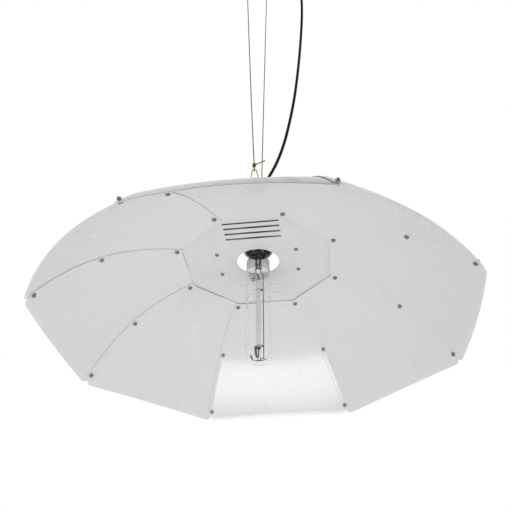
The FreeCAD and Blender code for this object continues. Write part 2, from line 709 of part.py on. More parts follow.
def make_contact():
    slide_r = PLUNGER_R + FIT_CLEARANCE
    chamber_r = PLUNGER_HEAD_R + SPRING_ROOM
    step_h = BUSH_TOP_H - BUSH_STEP
    top_h = BUSH_TOP_H + BUSH_DEPTH
    bush = turned([(slide_r, BUSH_LOW_H), (BUSH_R - 1, BUSH_LOW_H), (BUSH_R, BUSH_LOW_H + 1), (BUSH_R, top_h),
                   (chamber_r, top_h), (chamber_r, step_h), (slide_r, step_h)])
    save("contact_bush", bush)
    shoulder = step_h + PLUNGER_TRAVEL + SHELL_GAP
    plunger = turned([(0, LAMP_CONTACT_H), (PLUNGER_R - 1, LAMP_CONTACT_H), (PLUNGER_R, LAMP_CONTACT_H + 1),
                      (PLUNGER_R, shoulder), (PLUNGER_HEAD_R, shoulder), (PLUNGER_HEAD_R, shoulder + 2),
                      (0, shoulder + 2)])
    save("contact_plunger", plunger)
    low = shoulder + 2 + SPRING_WIRE / 2 + FIT_CLEARANCE
    high = top_h - SPRING_WIRE / 2 - 2 * FIT_CLEARANCE
    helix = Part.makeHelix((high - low) / SPRING_TURNS, high - low, SPRING_R)
    circle = Part.Wire(Part.Circle(V(SPRING_R, 0, 0), V(0, 1, 0), SPRING_WIRE / 2).toShape())
    spring = helix.makePipeShell([circle], True, True)
    spring.translate(V(0, 0, up(low)))
    save("contact_spring", spring)


# ---------------------------------------------------------------- lamp

def envelope_profile(inset):
    r = GLASS_R - inset
    centre = up(LAMP_TIP_H + GLASS_R)
    arc = Part.Arc(V(0, 0, centre - r), V(r * math.sin(math.pi / 4), 0, centre - r * math.cos(math.pi / 4)),
                   V(r, 0, centre))
    neck = LAMP_NECK_R - inset
    shoulder = Part.BezierCurve()
    shoulder.setPoles([V(r, 0, up(LAMP_SHOULDER_H)), V(r, 0, up(LAMP_SHOULDER_H + 9)),
                       V(neck, 0, up(LAMP_NECK_H - 9)), V(neck, 0, up(LAMP_NECK_H))])
    top = up(STEM_TOP_H)
    edges = [arc.toShape(), Part.makeLine(V(r, 0, centre), V(r, 0, up(LAMP_SHOULDER_H))),
             shoulder.toShape(), Part.makeLine(V(neck, 0, up(LAMP_NECK_H)), V(neck, 0, top)),
             Part.makeLine(V(neck, 0, top), V(0, 0, top)), Part.makeLine(V(0, 0, top), V(0, 0, centre - r))]
    return Part.Face(Part.Wire(edges)).revolve(V(0, 0, 0), V(0, 0, 1), 360)


def make_lamp():
    save("lamp_envelope", envelope_profile(0).cut(envelope_profile(GLASS_T)))
    save("lamp_cap_shell", turned(thread_outline()))
    plug_r = CAP_BORE_R - FIT_CLEARANCE
    seat = LAMP_CONTACT_H - LAMP_CONTACT_T
    save("lamp_cap_insulator", turned([(0, CAP_SHELL_TOP_H - 3), (plug_r, CAP_SHELL_TOP_H - 3),
                                       (plug_r, CAP_SHELL_TOP_H), (LAMP_CONTACT_R + 1.5, seat), (0, seat)]))
    save("lamp_cap_contact", turned([(0, seat), (LAMP_CONTACT_R, seat), (LAMP_CONTACT_R, LAMP_CONTACT_H - 1),
                                     (LAMP_CONTACT_R - 2, LAMP_CONTACT_H), (0, LAMP_CONTACT_H)]))
    make_stem()
    tube_inner = ARC_R - 0.8
    save("arc_tube", ring(ARC_R, tube_inner, ARC_BOTTOM_H, ARC_TOP_H))
    caps = []
    for inside, outside in ((ARC_BOTTOM_H + 4, ARC_BOTTOM_H - 3), (ARC_TOP_H - 4, ARC_TOP_H + 3)):
        low, high = min(inside, outside), max(inside, outside)
        plug = rod(tube_inner - 0.05, low, high)
        pin_end = outside + math.copysign(PIN_REACH, outside - inside)
        caps.append(plug.fuse(rod(1.2, min(outside, pin_end), max(outside, pin_end))))
    save("arc_end_plugs", caps)
    make_lamp_frame()


def make_stem():
    """Flare sealed into the neck, narrowing to a round stem that ends in a flat pinch."""
    neck_inner = LAMP_NECK_R - GLASS_T - FIT_CLEARANCE
    flare_low = STEM_TOP_H - 3
    stem = turned([(0, flare_low), (neck_inner, flare_low), (neck_inner, STEM_TOP_H), (0, STEM_TOP_H)])
    stem = stem.fuse(Part.makeCone(neck_inner - 4, STEM_R, 18, at((0, 0, flare_low)), V(0, 0, -1)))
    stem = stem.fuse(rod(STEM_R, STEM_PINCH_H + 8, flare_low - 17))
    pinch = block(-8, 8, -2.5, 2.5, STEM_PINCH_H, STEM_PINCH_H + STEM_PINCH_HEIGHT)
    save("lamp_stem", stem.fuse(pinch).removeSplitter())


def thread_outline():
    """The rolled shell in section: its thread stands as rings of the thread's pitch."""
    root = CAP_SHELL_R - CAP_THREAD_DEPTH
    points = [(CAP_BORE_R, CAP_SHELL_BOTTOM_H), (root, CAP_SHELL_BOTTOM_H)]
    height = CAP_SHELL_BOTTOM_H + 3
    while height + CAP_PITCH < CAP_SHELL_TOP_H:
        points += [(root, height), (CAP_SHELL_R, height + CAP_PITCH * 0.3),
                   (CAP_SHELL_R, height + CAP_PITCH * 0.7), (root, height + CAP_PITCH)]
        height += CAP_PITCH
    return points + [(root, CAP_SHELL_TOP_H), (CAP_BORE_R, CAP_SHELL_TOP_H)]


def make_lamp_frame():
    x, low = FRAME_X, FRAME_LOW_H
    start = STEM_PINCH_H - 0.1
    turn = STEM_PINCH_H - LEAD_DROP
    rod_route = [(LEAD_X, 0, start), (LEAD_X, 0, turn), (x, 0, turn - 6), (x, 0, low), (1.6, 0, low)]
    side_rod = wire_form([at(p) for p in rod_route], 2 * FRAME_WIRE_R, 1.6)
    lower = rod(1.0, low + FRAME_WIRE_R + 0.1, ARC_BOTTOM_H - 3 - PIN_REACH - 0.1)
    lead_route = [(-LEAD_X, 0, start), (-LEAD_X, 0, turn - 1), (0, 0, turn - 9),
                  (0, 0, ARC_TOP_H + 3 + PIN_REACH + 0.1)]
    upper = wire_form([at(p) for p in lead_route], 1.6, 1.6)
    save("lamp_frame_wires", [side_rod, lower, upper])
    joined = rod(3.2, low - 4.2, low - 1.2)
    for angle in STRAP_ANGLES:
        reach = [V(3.0, 0, up(low - 3.4)), V(15.4, 0, up(low - 0.6)), V(20.6, 0, up(low + 14))]
        strap = wire_form(reach, 1.0, 3.0)
        strap.rotate(V(0, 0, 0), V(0, 0, 1), angle)
        joined = joined.fuse(strap)
    save("dome_springs", joined)


# ---------------------------------------------------------------- hanging parts

def tied_loop(centre, along, wire_r, side):
    """Loop of cord round a wire, with its knot on the given side (1 above, -1 below)."""
    r = wire_r + LOOP_CLEARANCE + CORD_D / 2
    cross = along.cross(V(0, 0, 1)).normalize() * r
    rise = V(0, 0, side)
    leg = rise * (KNOT_DISTANCE + KNOT_LENGTH / 3)
    edges = [Part.makeLine(centre + cross + leg, centre + cross),
             Part.Arc(centre + cross, centre - rise * r, centre - cross).toShape(),
             Part.makeLine(centre - cross, centre - cross + leg)]
    circle = Part.Wire(Part.Circle(centre + cross + leg, rise, CORD_D / 2).toShape())
    loop = Part.Wire(edges).makePipeShell([circle], True, False)
    knot_r = r + CORD_D / 2 + KNOT_WALL
    knot = Part.makeCylinder(knot_r, KNOT_LENGTH, centre + rise * KNOT_DISTANCE, rise)
    rims = [e for e in knot.Edges if e.Length > 5 * knot_r]
    knot = knot.makeFillet(knot_r * 0.3, rims)
    return knot.fuse(loop), centre + rise * (KNOT_DISTANCE + KNOT_LENGTH)


def ceiling_hook(side):
    line = V(HOOK_X, BAIL_APEX_Y, 0).normalize()
    place = V(HOOK_X, BAIL_APEX_Y, 0) * side
    centre = place + V(0, 0, -HOOK_STEM - HOOK_RING_R)

    def rim(angle):
        a = math.radians(angle)
        return centre + (line * math.cos(a) + V(0, 0, math.sin(a))) * HOOK_RING_R

    arcs = [Part.Arc(rim(90), rim(0), rim(-90)).toShape(), Part.Arc(rim(-90), rim(-150), rim(-215)).toShape()]
    circle = Part.Wire(Part.Circle(rim(90), line, HOOK_WIRE / 2).toShape())
    bow = Part.Wire(arcs).makePipeShell([circle], True, False)
    bow = bow.fuse(Part.makeSphere(HOOK_WIRE / 2, rim(90)))
    bow = bow.fuse(Part.makeCylinder(HOOK_WIRE / 2, HOOK_STEM, place, V(0, 0, -1)))
    stud = Part.makeCylinder(HOOK_THREAD_R, HOOK_THREAD_LENGTH, place - V(0, 0, 1))
    disc = Part.makeCylinder(HOOK_PLATE_R, HOOK_PLATE_T, place - V(0, 0, HOOK_PLATE_T))
    return bow.fuse(disc).fuse(stud).removeSplitter(), line


def make_bail(side):
    """Bent wire: a foot under the deck, up through it, over the apex and down again."""
    x, y = BAIL_FOOT_X, side * BAIL_FOOT_Y
    seat = BRACKET_DECK_H - 3.5
    half = [(x + 8, y, seat), (x, y, seat), (x, y, DECK_TOP_H + 7),
            (BAIL_APEX_HALF, side * BAIL_APEX_Y, BAIL_APEX_H)]
    other = [(-p[0], p[1], p[2]) for p in half[::-1]]
    return wire_form([at(p) for p in half + other], BAIL_WIRE, 2.4)


def make_hanging():
    for side, name in ((-1, "front"), (1, "rear")):
        save("bail_wire_" + name, make_bail(side))
        hook, line = ceiling_hook(side)
        save("ceiling_hook_" + name, hook)
        apex = at((0, side * BAIL_APEX_Y, BAIL_APEX_H))
        low_knot, low_end = tied_loop(apex, V(1, 0, 0), BAIL_WIRE / 2, 1)
        hook_bottom = V(HOOK_X * side, BAIL_APEX_Y * side, HOOK_AXIS_Z)
        top_knot, top_end = tied_loop(hook_bottom, line, HOOK_WIRE / 2, -1)
        save("lower_knot_" + name, low_knot)
        save("upper_knot_" + name, top_knot)
        route = [low_end, at(CORD_MIDDLES[side]), top_end]
        save("hang_cord_" + name, cord_tube("hang_cord_" + name, route, CORD_D))


def make_cable():
    save("mains_cable", cord_tube("mains_cable", [at(p) for p in CABLE_POINTS], CABLE_D))
    deep = COIL_LAYERS * CABLE_D / 2
    wide = COIL_ROWS * CABLE_D / 2
    centre = at((COIL_X, COIL_Y, COIL_H))
    low = centre - V(0, wide, 0)
    coil = Part.makeCylinder(COIL_MID_R + deep, 2 * wide, low, V(0, 1, 0))
    coil = coil.cut(Part.makeCylinder(COIL_MID_R - deep, 4 * wide, low - V(0, wide, 0), V(0, 1, 0)))
    coil = coil.makeFillet(CABLE_D * 0.45, [e for e in coil.Edges if e.Length > 100])
    save("cable_coil", coil)
    print("coil length", round(2 * math.pi * COIL_MID_R * COIL_LAYERS * COIL_ROWS))
    left = COIL_X - COIL_MID_R
    x0, x1 = left - deep - TIE_GAP, left + deep + TIE_GAP
    y0, y1 = -BAIL_APEX_Y - CORD_D / 2 - TIE_GAP, COIL_Y + wide + TIE_GAP
    outer = block(x0 - TIE_T, x1 + TIE_T, y0 - TIE_T, y1 + TIE_T, COIL_H - TIE_HALF, COIL_H + TIE_HALF)
    save("coil_tie", outer.cut(block(x0, x1, y0, y1, COIL_H - TIE_HALF - 1, COIL_H + TIE_HALF + 1)))
    save("cable_tail", cord_tube("cable_tail", [at(p) for p in TAIL_POINTS], CABLE_D))
    make_plug()


def make_plug():
    x, y, high = TAIL_POINTS[-1]
    low = high - PLUG_LENGTH
    shoulder = high - PLUG_NECK
    half_x, half_y = PLUG_SIDE_X / 2, PLUG_SIDE_Y / 2
    body = block(x - half_x, x + half_x, y - half_y, y + half_y, low, shoulder)
    body = body.makeFillet(3, [e for e in body.Edges if abs(e.Vertexes[0].Z - e.Vertexes[1].Z) > 1])
    body = body.fuse(Part.makeCone(6.5, 5, PLUG_NECK, at((x, y, shoulder))))
    save("plug_body", body)
    pins = [block(x + dx - 1, x + dx + 1, y + dy - 2, y + dy + 2, low - PIN_LENGTH, low)
            for dx, dy in ((-7, -1), (0, 2), (7, -1))]
    save("plug_pins", pins)


os.makedirs("parts", exist_ok=True)
make_petals()
make_cap()
make_seam_hardware()
make_bracket()
make_cover()
make_cores()
make_holder()
make_contact()
make_lamp()
make_hanging()
make_cable()
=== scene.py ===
import math

import bmesh
import bpy
from mathutils import Euler, Matrix, Vector


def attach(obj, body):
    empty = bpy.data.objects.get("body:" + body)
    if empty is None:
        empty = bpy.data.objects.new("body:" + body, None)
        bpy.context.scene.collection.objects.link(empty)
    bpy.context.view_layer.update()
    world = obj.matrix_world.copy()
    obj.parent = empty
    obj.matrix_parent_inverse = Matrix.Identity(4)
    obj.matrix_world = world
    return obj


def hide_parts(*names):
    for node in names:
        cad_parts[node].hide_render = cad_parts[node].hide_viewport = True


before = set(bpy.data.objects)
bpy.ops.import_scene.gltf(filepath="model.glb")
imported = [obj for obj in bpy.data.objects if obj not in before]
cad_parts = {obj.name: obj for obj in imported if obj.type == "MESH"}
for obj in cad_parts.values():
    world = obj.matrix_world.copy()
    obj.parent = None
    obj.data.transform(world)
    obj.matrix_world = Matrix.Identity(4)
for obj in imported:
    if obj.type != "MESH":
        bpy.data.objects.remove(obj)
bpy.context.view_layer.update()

# ------------------------------------------------------------------ camera and studio
# A person standing under the lamp looks up into its bell. The backdrop is a plain pale
# studio: an even white surround, a pale floor far below and broad soft lights.
RIM_Z = -1.290            # plane of the reflector's rim screws, below the ceiling plane

camera = bpy.data.cameras.new("camera")
camera.lens = 46.23
camera.clip_end = 50
camera_object = bpy.data.objects.new("camera", camera)
camera_object.location = (0.1258, -1.0751, RIM_Z - 0.6413)
aim = Euler((math.radians(90 + 36.72), 0, math.radians(6.91)), "XYZ").to_matrix()
lean = Matrix.Rotation(math.radians(-0.16), 3, "Z")
camera_object.rotation_euler = (aim @ lean).to_euler()
bpy.context.collection.objects.link(camera_object)
bpy.context.scene.camera = camera_object
bpy.context.scene.view_settings.view_transform = "Standard"


def linear(hex_colour):
    """sRGB hex to linear RGBA."""
    parts = [int(hex_colour[i:i + 2], 16) / 255 for i in (1, 3, 5)]
    return [c / 12.92 if c < 0.04045 else ((c + 0.055) / 1.055) ** 2.4 for c in parts] + [1.0]


def node(tree, kind, links=(), **settings):
    """Adds a node; settings set its properties or inputs, links feed its inputs."""
    new = tree.nodes.new(kind)
    for name, value in settings.items():
        if hasattr(new, name):
            setattr(new, name, value)
        else:
            new.inputs[name.replace("_", " ")].default_value = value
    for target, source in dict(links).items():
        tree.links.new(source, new.inputs[target])
    return new


def placed(name, data):
    """A new object at the origin that holds the given mesh, curve, light or camera."""
    made = bpy.data.objects.new(name, data)
    bpy.context.collection.objects.link(made)
    return made


def area_light(name, place, target, size, power, tint="#FFFFFF"):
    light = bpy.data.lights.new(name, "AREA")
    light.shape = "DISK"
    light.size = size
    light.energy = power
    light.color = linear(tint)[:3]
    lamp = placed(name, light)
    lamp.location = place
    lamp.rotation_euler = (Vector(target) - Vector(place)).to_track_quat("-Z", "Y").to_euler()


# The surround is white where the lamp is seen against it, and dimmer overhead and high up
# behind the viewer, so that the outside of the bell falls into soft shade.
surround = bpy.data.worlds.new("studio")
surround.use_nodes = True
sky = surround.node_tree
ray = node(sky, "ShaderNodeTexCoord")
compass = node(sky, "ShaderNodeSeparateXYZ", {"Vector": ray.outputs["Generated"]})
zenith = node(sky, "ShaderNodeMapRange", {"Value": compass.outputs["Z"]},
              From_Min=0.88, From_Max=0.95, To_Min=1.0, To_Max=0.45)
behind = node(sky, "ShaderNodeMapRange", {"Value": compass.outputs["Y"]},
              From_Min=-0.4, From_Max=0.1, To_Min=1.0, To_Max=0.0)
raised = node(sky, "ShaderNodeMapRange", {"Value": compass.outputs["Z"]},
              From_Min=-0.1, From_Max=0.3, To_Min=0.0, To_Max=0.7)
dimmed = node(sky, "ShaderNodeMath", {0: behind.outputs["Result"], 1: raised.outputs["Result"]},
              operation="MULTIPLY")
level = node(sky, "ShaderNodeMath", {0: zenith.outputs["Result"], 1: dimmed.outputs["Value"]},
             operation="SUBTRACT")
sky.links.new(level.outputs["Value"], sky.nodes["Background"].inputs["Strength"])
sky.nodes["Background"].inputs["Color"].default_value = (1, 1, 1, 1)
bpy.context.scene.world = surround
area_light("low softbox", (-0.05, -0.30, RIM_Z - 1.5), (0, 0.28, RIM_Z), 0.8, 10)
area_light("right fill", (1.7, -0.9, RIM_Z - 1.0), (-0.2, 0, RIM_Z), 1.2, 4)

FLOOR_Z = RIM_Z - 1.9
FLOOR_HALF = 40.0


def mesh_object(name, vertices, faces):
    mesh = bpy.data.meshes.new(name)
    mesh.from_pydata([tuple(v) for v in vertices], [], faces)
    mesh.validate()
    mesh.shade_smooth()
    return placed(name, mesh)


def finish(made, material):
    made.data.materials.clear()
    made.data.materials.append(material)


floor_corners = [(FLOOR_HALF * x, FLOOR_HALF * y, FLOOR_Z) for x, y in ((-1, -1), (1, -1), (1, 1), (-1, 1))]
floor = mesh_object("studio_floor", floor_corners, [(0, 1, 2, 3)])
pale = bpy.data.materials.new("pale studio floor")
pale.use_nodes = True
pale.node_tree.nodes["Principled BSDF"].inputs["Base Color"].default_value = linear("#F6F6F5")
pale.node_tree.nodes["Principled BSDF"].inputs["Roughness"].default_value = 0.9
finish(floor, pale)

# ------------------------------------------------------------------ reflector petals
# Eight petals of 1 mm aluminium sheet with a gloss white coating. Each is cut flat, bent by
# its screws into a bulging gore, and laps over one neighbour and under the other.
PETALS = 8
HALF = math.pi / PETALS
CAP_SCREWS = (0.167, 0.1457)      # radius and height of the three screw circles
MID_SCREWS = (0.309, 0.0986)
RIM_SCREWS = (0.415, 0.0)
PETAL_START = CAP_SCREWS[0] - 0.010
PETAL_END = RIM_SCREWS[0] + 0.013
SHEET = 0.001
LAP_AIR = 0.0005
EASED_EDGE = 0.0002
CREASE_REACH = 0.003
LAP = 0.009
# How far the middle of each rim stands out of the straight chord.
BULGES = (0.013, 0.013, 0.013, 0.013, 0.013, 0.024, 0.013, 0.021)
CORNER_CUT = 0.010
RIPPLE = 0.0006                   # oil-canning of the sheet, either way


def dish_terms():
    """Height = top - a r^2 - b r^4 through the three screw circles."""
    (r0, h0), (r1, h1), (r2, h2) = CAP_SCREWS, MID_SCREWS, RIM_SCREWS
    p2, p4, q2, q4 = r1 ** 2 - r0 ** 2, r1 ** 4 - r0 ** 4, r2 ** 2 - r0 ** 2, r2 ** 4 - r0 ** 4
    det = p2 * q4 - p4 * q2
    a = ((h0 - h1) * q4 - p4 * (h0 - h2)) / det
    b = (p2 * (h0 - h2) - (h0 - h1) * q2) / det
    return h0 + a * r0 ** 2 + b * r0 ** 4, a, b


DISH_TOP, DISH_A, DISH_B = dish_terms()


def dish_height(r):
    return RIM_Z + DISH_TOP - DISH_A * r ** 2 - DISH_B * r ** 4


def dish_normal(r, angle):
    slope = 2 * DISH_A * r + 4 * DISH_B * r ** 3
    return Vector((slope * math.cos(angle), slope * math.sin(angle), 1)).normalized()


def panel_point(r, across, petal):
    swell = BULGES[petal % PETALS] * ((r - PETAL_START) / (PETAL_END - PETAL_START)) ** 2
    chord = Vector((r * math.cos(HALF), across * r * math.sin(HALF), dish_height(r)))
    return chord + dish_normal(r, 0) * swell * (1 - across ** 2)


def panel_frame(r, across, petal):
    """Point and outward normal, carried on to the neighbour's panel past a seam."""
    turn = (across > 1) - (across < -1)
    across -= 2 * turn
    petal += turn
    step = 0.001
    along = panel_point(r + step, across, petal) - panel_point(r - step, across, petal)
    over = panel_point(r, across + step, petal) - panel_point(r, across - step, petal)
    normal = over.cross(along).normalized()
    if normal.z < 0:
        normal.negate()
    spin = Matrix.Rotation(2 * HALF * turn, 3, "Z")
    return spin @ panel_point(r, across, petal), spin @ normal


def crease_blend(r, across, petal):
    """Softens the crease at a seam to a bend about 3 mm wide on either side."""
    reach = CREASE_REACH / (r * math.sin(HALF))
    point, normal = panel_frame(r, across, petal)
    edge = abs(abs(across) - 1) / reach
    if edge < 1:
        side = math.copysign(1, across)
        a, na = panel_frame(r, side * (1 - reach), petal)
        b, nb = panel_frame(r, side * (1 + reach), petal)
        middle = (a + b) / 2 + (b - a) * ((abs(across) - 1) / reach) / 2
        point = point.lerp(middle, 0.5 * (1 - edge))
        normal = (na + nb).normalized().lerp(normal, edge).normalized()
    return point, normal


def ripple(r, across, petal):
    """Faint oil-canning of the thin sheet, none at the seams."""
    calm = max(0.0, 1 - across ** 2)
    wave = math.sin(9 * r / 0.4 + petal * 1.7) * math.cos(2.3 * across + petal)
    return RIPPLE * calm * wave


ROWS = 56
COLUMNS = 44


def petal_stations(r):
    chord = r * math.sin(HALF)
    lap = LAP / chord
    stations = [-1 + 2 * k / COLUMNS for k in range(COLUMNS + 1)]
    fine = [d / 4 * lap for d in (-4, -3, -2, -1.2, -0.6, -0.3, 0.3, 0.6, 1.2)]
    left = [-1 + d for d in fine]
    right = [1 - d for d in fine]
    return sorted(left + stations + right)


def rim_radius(across, chord_end):
    """The rim's corners are cut off at a slant, so neighbours leave a small notch."""
    from_end = (1 + LAP / chord_end - abs(across)) * chord_end
    return PETAL_END - CORNER_CUT * max(0.0, 1 - from_end / (2 * LAP))


def petal_mesh(name, petal):
    rows = []
    chord_end = PETAL_END * math.sin(HALF)
    for i in range(ROWS + 1):
        share = i / ROWS
        r = PETAL_START + (PETAL_END - PETAL_START) * share
        row = []
        for across in petal_stations(r):
            cut_r = PETAL_START + (rim_radius(across, chord_end) - PETAL_START) * share
            point, normal = crease_blend(cut_r, across, petal)
            under = max(0.0, min(1.0, (across + 1) / 2))
            under = under * under * (3 - 2 * under)
            point = point - normal * (under * (SHEET + LAP_AIR)) + normal * ripple(r, across, petal)
            row.append(point)
        rows.append(row)
    width = len(rows[0])
    vertices = [p for row in rows for p in row]
    faces = []
    for i in range(ROWS):
        for j in range(width - 1):
            a = i * width + j
            faces.append((a, a + 1, a + width + 1, a + width))
    made = mesh_object(name, vertices, faces)
    turn = Matrix.Rotation(2 * HALF * petal, 4, "Z")
    made.data.transform(turn)
    return made


def solidify(made, thickness, bevel=0.0):
    """Gives a sheet that faces up its thickness on the lower side, and eases its edges."""
    work = bmesh.new()
    work.from_mesh(made.data)
    bmesh.ops.recalc_face_normals(work, faces=work.faces)
    total = sum(f.normal.z * f.calc_area() for f in work.faces)
    if total < 0:
        bmesh.ops.reverse_faces(work, faces=work.faces)
    work.to_mesh(made.data)
    work.free()
    shell = made.modifiers.new("wall", "SOLIDIFY")
    shell.thickness = thickness
    shell.offset = -1
    if bevel:
        ease = made.modifiers.new("eased edge", "BEVEL")
        ease.width = bevel
        ease.segments = 2
        ease.limit_method = "ANGLE"
        ease.angle_limit = math.radians(60)


def principled(name):
    material = bpy.data.materials.new(name)
    material.use_nodes = True
    tree = material.node_tree
    return material, tree, tree.nodes["Principled BSDF"]


def mottled_finish(name, dark, light, scale, detail, gloss=None, relief=None, peel=None, stretch=None,
                   **surface):
    """A whole finish. Its mottling mixes two colours, varies the roughness between the two of
    gloss, and raises the relief (strength, depth), which may have a finer peel of its own."""
    material, tree, shader = principled(name)
    spread = node(tree, "ShaderNodeTexCoord").outputs["Object"]
    if stretch:
        spread = node(tree, "ShaderNodeMapping", {"Vector": spread}, Scale=stretch).outputs["Vector"]
    grain = node(tree, "ShaderNodeTexNoise", {"Vector": spread}, Scale=scale, Detail=detail)
    tone = node(tree, "ShaderNodeMix", {"Factor": grain.outputs["Fac"]}, data_type="RGBA")
    tone.inputs["A"].default_value = linear(dark)
    tone.inputs["B"].default_value = linear(light)
    tree.links.new(tone.outputs["Result"], shader.inputs["Base Color"])
    if gloss:
        shine = node(tree, "ShaderNodeMapRange", {"Value": grain.outputs["Fac"]},
                     To_Min=gloss[0], To_Max=gloss[1])
        tree.links.new(shine.outputs["Result"], shader.inputs["Roughness"])
    if peel:
        grain = node(tree, "ShaderNodeTexNoise", {"Vector": spread}, Scale=peel[0], Detail=peel[1])
    if relief:
        bump = node(tree, "ShaderNodeBump", {"Height": grain.outputs["Fac"]},
                    Strength=relief[0], Distance=relief[1])
        tree.links.new(bump.outputs["Normal"], shader.inputs["Normal"])
    for socket, value in surface.items():
        shader.inputs[socket.replace("_", " ")].default_value = value
    return material


# Gloss white powder coat on rolled aluminium: neutral cool white with a fine orange-peel
# about 2 mm across, slight clouding from handling, and a clear soft reflection.
white_coat = mottled_finish("gloss white powder coat", "#D7D8DA", "#DEDFE0", 5.0, 5.0,
                            gloss=(0.22, 0.34), relief=(0.05, 0.0003), peel=(420.0, 2.0),
                            Coat_Weight=0.25, Coat_Roughness=0.12)

for k in range(PETALS):
    petal = petal_mesh("white_petal_%d" % (k + 1), k)
    solidify(petal, SHEET, EASED_EDGE)
    finish(petal, white_coat)
    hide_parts("petal_%d" % (k + 1))
    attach(petal, "reflector")

# ------------------------------------------------------------------ cap plate
# The eight-sided cap of the bell: 1 mm steel sheet, pressed with a shallow skirt and two rows
# of hooded air slots, then powder coated. The petals hang from its edge by the seam screws.
def dress(material, *nodes):
    """Gives a piece of the frame its finish."""
    for name in nodes:
        for place in bpy.data.objects[name].material_slots:
            place.material = material


# The same powder as the petals, on flatter steel: less clouding and a finer peel. Under the front
# hoods the downward-facing steel is painted near-black: painted shade in the slots' throats.
HOOD_ROWS = -0.105               # middle of the front rows of hoods, and half their depth
HOOD_ROWS_HALF = 0.035
HOOD_TILT = -0.46                # how far the steel under them faces down, and by how much it varies
HOOD_TILT_HALF = 0.5
cap_coat, tree, shader = principled("powder coated cap sheet")
place = node(tree, "ShaderNodeTexCoord")
dust = node(tree, "ShaderNodeTexNoise", {"Vector": place.outputs["Object"]}, Scale=28.0, Detail=6.0)
tone = node(tree, "ShaderNodeMix", {"Factor": dust.outputs["Fac"]}, data_type="RGBA")
tone.inputs["A"].default_value = linear("#D2D3D5")
tone.inputs["B"].default_value = linear("#DDDEDF")
spot = node(tree, "ShaderNodeSeparateXYZ", {"Vector": place.outputs["Object"]})
tilt = node(tree, "ShaderNodeSeparateXYZ", {"Vector": place.outputs["Normal"]})
front = node(tree, "ShaderNodeMath", {0: spot.outputs["Y"]}, operation="COMPARE")
front.inputs[1].default_value = HOOD_ROWS
front.inputs[2].default_value = HOOD_ROWS_HALF
sloping = node(tree, "ShaderNodeMath", {0: tilt.outputs["Z"]}, operation="COMPARE")
sloping.inputs[1].default_value = HOOD_TILT
sloping.inputs[2].default_value = HOOD_TILT_HALF
# Painted shade: near-black on the downward-facing steel under the front rows of hoods.
painted_hood_shade = node(tree, "ShaderNodeMath", {0: front.outputs["Value"], 1: sloping.outputs["Value"]},
            operation="MULTIPLY")
coat_and_hood_shade = node(tree, "ShaderNodeMix", {"Factor": painted_hood_shade.outputs["Value"], "A": tone.outputs["Result"]},
                data_type="RGBA")
coat_and_hood_shade.inputs["B"].default_value = linear("#2A2A2B")
tree.links.new(coat_and_hood_shade.outputs["Result"], shader.inputs["Base Color"])
peel = node(tree, "ShaderNodeTexNoise", {"Vector": place.outputs["Object"]}, Scale=520.0, Detail=2.0)
bump = node(tree, "ShaderNodeBump", {"Height": peel.outputs["Fac"]}, Strength=0.06, Distance=0.0002)
tree.links.new(bump.outputs["Normal"], shader.inputs["Normal"])
gloss = node(tree, "ShaderNodeMapRange", {"Value": dust.outputs["Fac"]}, To_Min=0.28, To_Max=0.42)
tree.links.new(gloss.outputs["Result"], shader.inputs["Roughness"])
shader.inputs["Coat Weight"].default_value = 0.2
shader.inputs["Coat Roughness"].default_value = 0.15
dress(cap_coat, "cap_plate")

# ------------------------------------------------------------------ seam screws, washers and nuts
# Three M4 pan-head screws hold each seam: bright zinc-plated steel, cold headed, with a washer
# under each head inside the bell and a hexagon nut outside, where the thread stands proud.
M4_R = 0.002
THREAD_PITCH = 0.0007
THREAD_DEPTH = 0.0003
THREAD_PROUD = 0.002
HEAD_R = 0.0039
HEAD_T = 0.0024
WASHER_R = 0.0045
WASHER_T = 0.0008
NUT_R = 0.0040
NUT_T = 0.0030


def sharpen(work, degrees=35):
    """Smooth shading, with a crisp edge wherever two faces turn by more than the angle."""
    for face in work.faces:
        face.smooth = True
    for edge in work.edges:
        edge.smooth = len(edge.link_faces) == 2 and edge.calc_face_angle() < math.radians(degrees)


def keep_mesh(name, work, degrees=35):
    bmesh.ops.recalc_face_normals(work, faces=work.faces)
    sharpen(work, degrees)
    mesh = bpy.data.meshes.new(name)
    work.to_mesh(mesh)
    work.free()
    return placed(name, mesh)


def turned_mesh(name, profile, sides=28, ring=False, warp=None):
    """Solid of revolution about Z from (radius, height) points; a ring closes on itself."""
    work = bmesh.new()
    grid = []
    for r, z in profile:
        row = []
        for k in range(sides):
            a = 2 * math.pi * k / sides
            at_r = warp(r, z, a) if warp else r
            row.append(work.verts.new((at_r * math.cos(a), at_r * math.sin(a), z)))
        grid.append(row)
    pairs = list(zip(grid, grid[1:]))
    if ring:
        pairs.append((grid[-1], grid[0]))
    for low, high in pairs:
        for k in range(sides):
            n = (k + 1) % sides
            work.faces.new((low[k], low[n], high[n], high[k]))
    bmesh.ops.remove_doubles(work, verts=work.verts, dist=1e-6)
    return keep_mesh(name, work)


def arc(centre_r, centre_z, radius, first, last, steps=5):
    """Profile points on an arc, angles in degrees from the +radius direction."""
    angles = [math.radians(first + (last - first) * k / steps) for k in range(steps + 1)]
    return [(centre_r + radius * math.cos(a), centre_z + radius * math.sin(a)) for a in angles]


def take(made):
    """Removes a working object once its mesh has been used."""
    bpy.data.objects.remove(made, do_unlink=True)


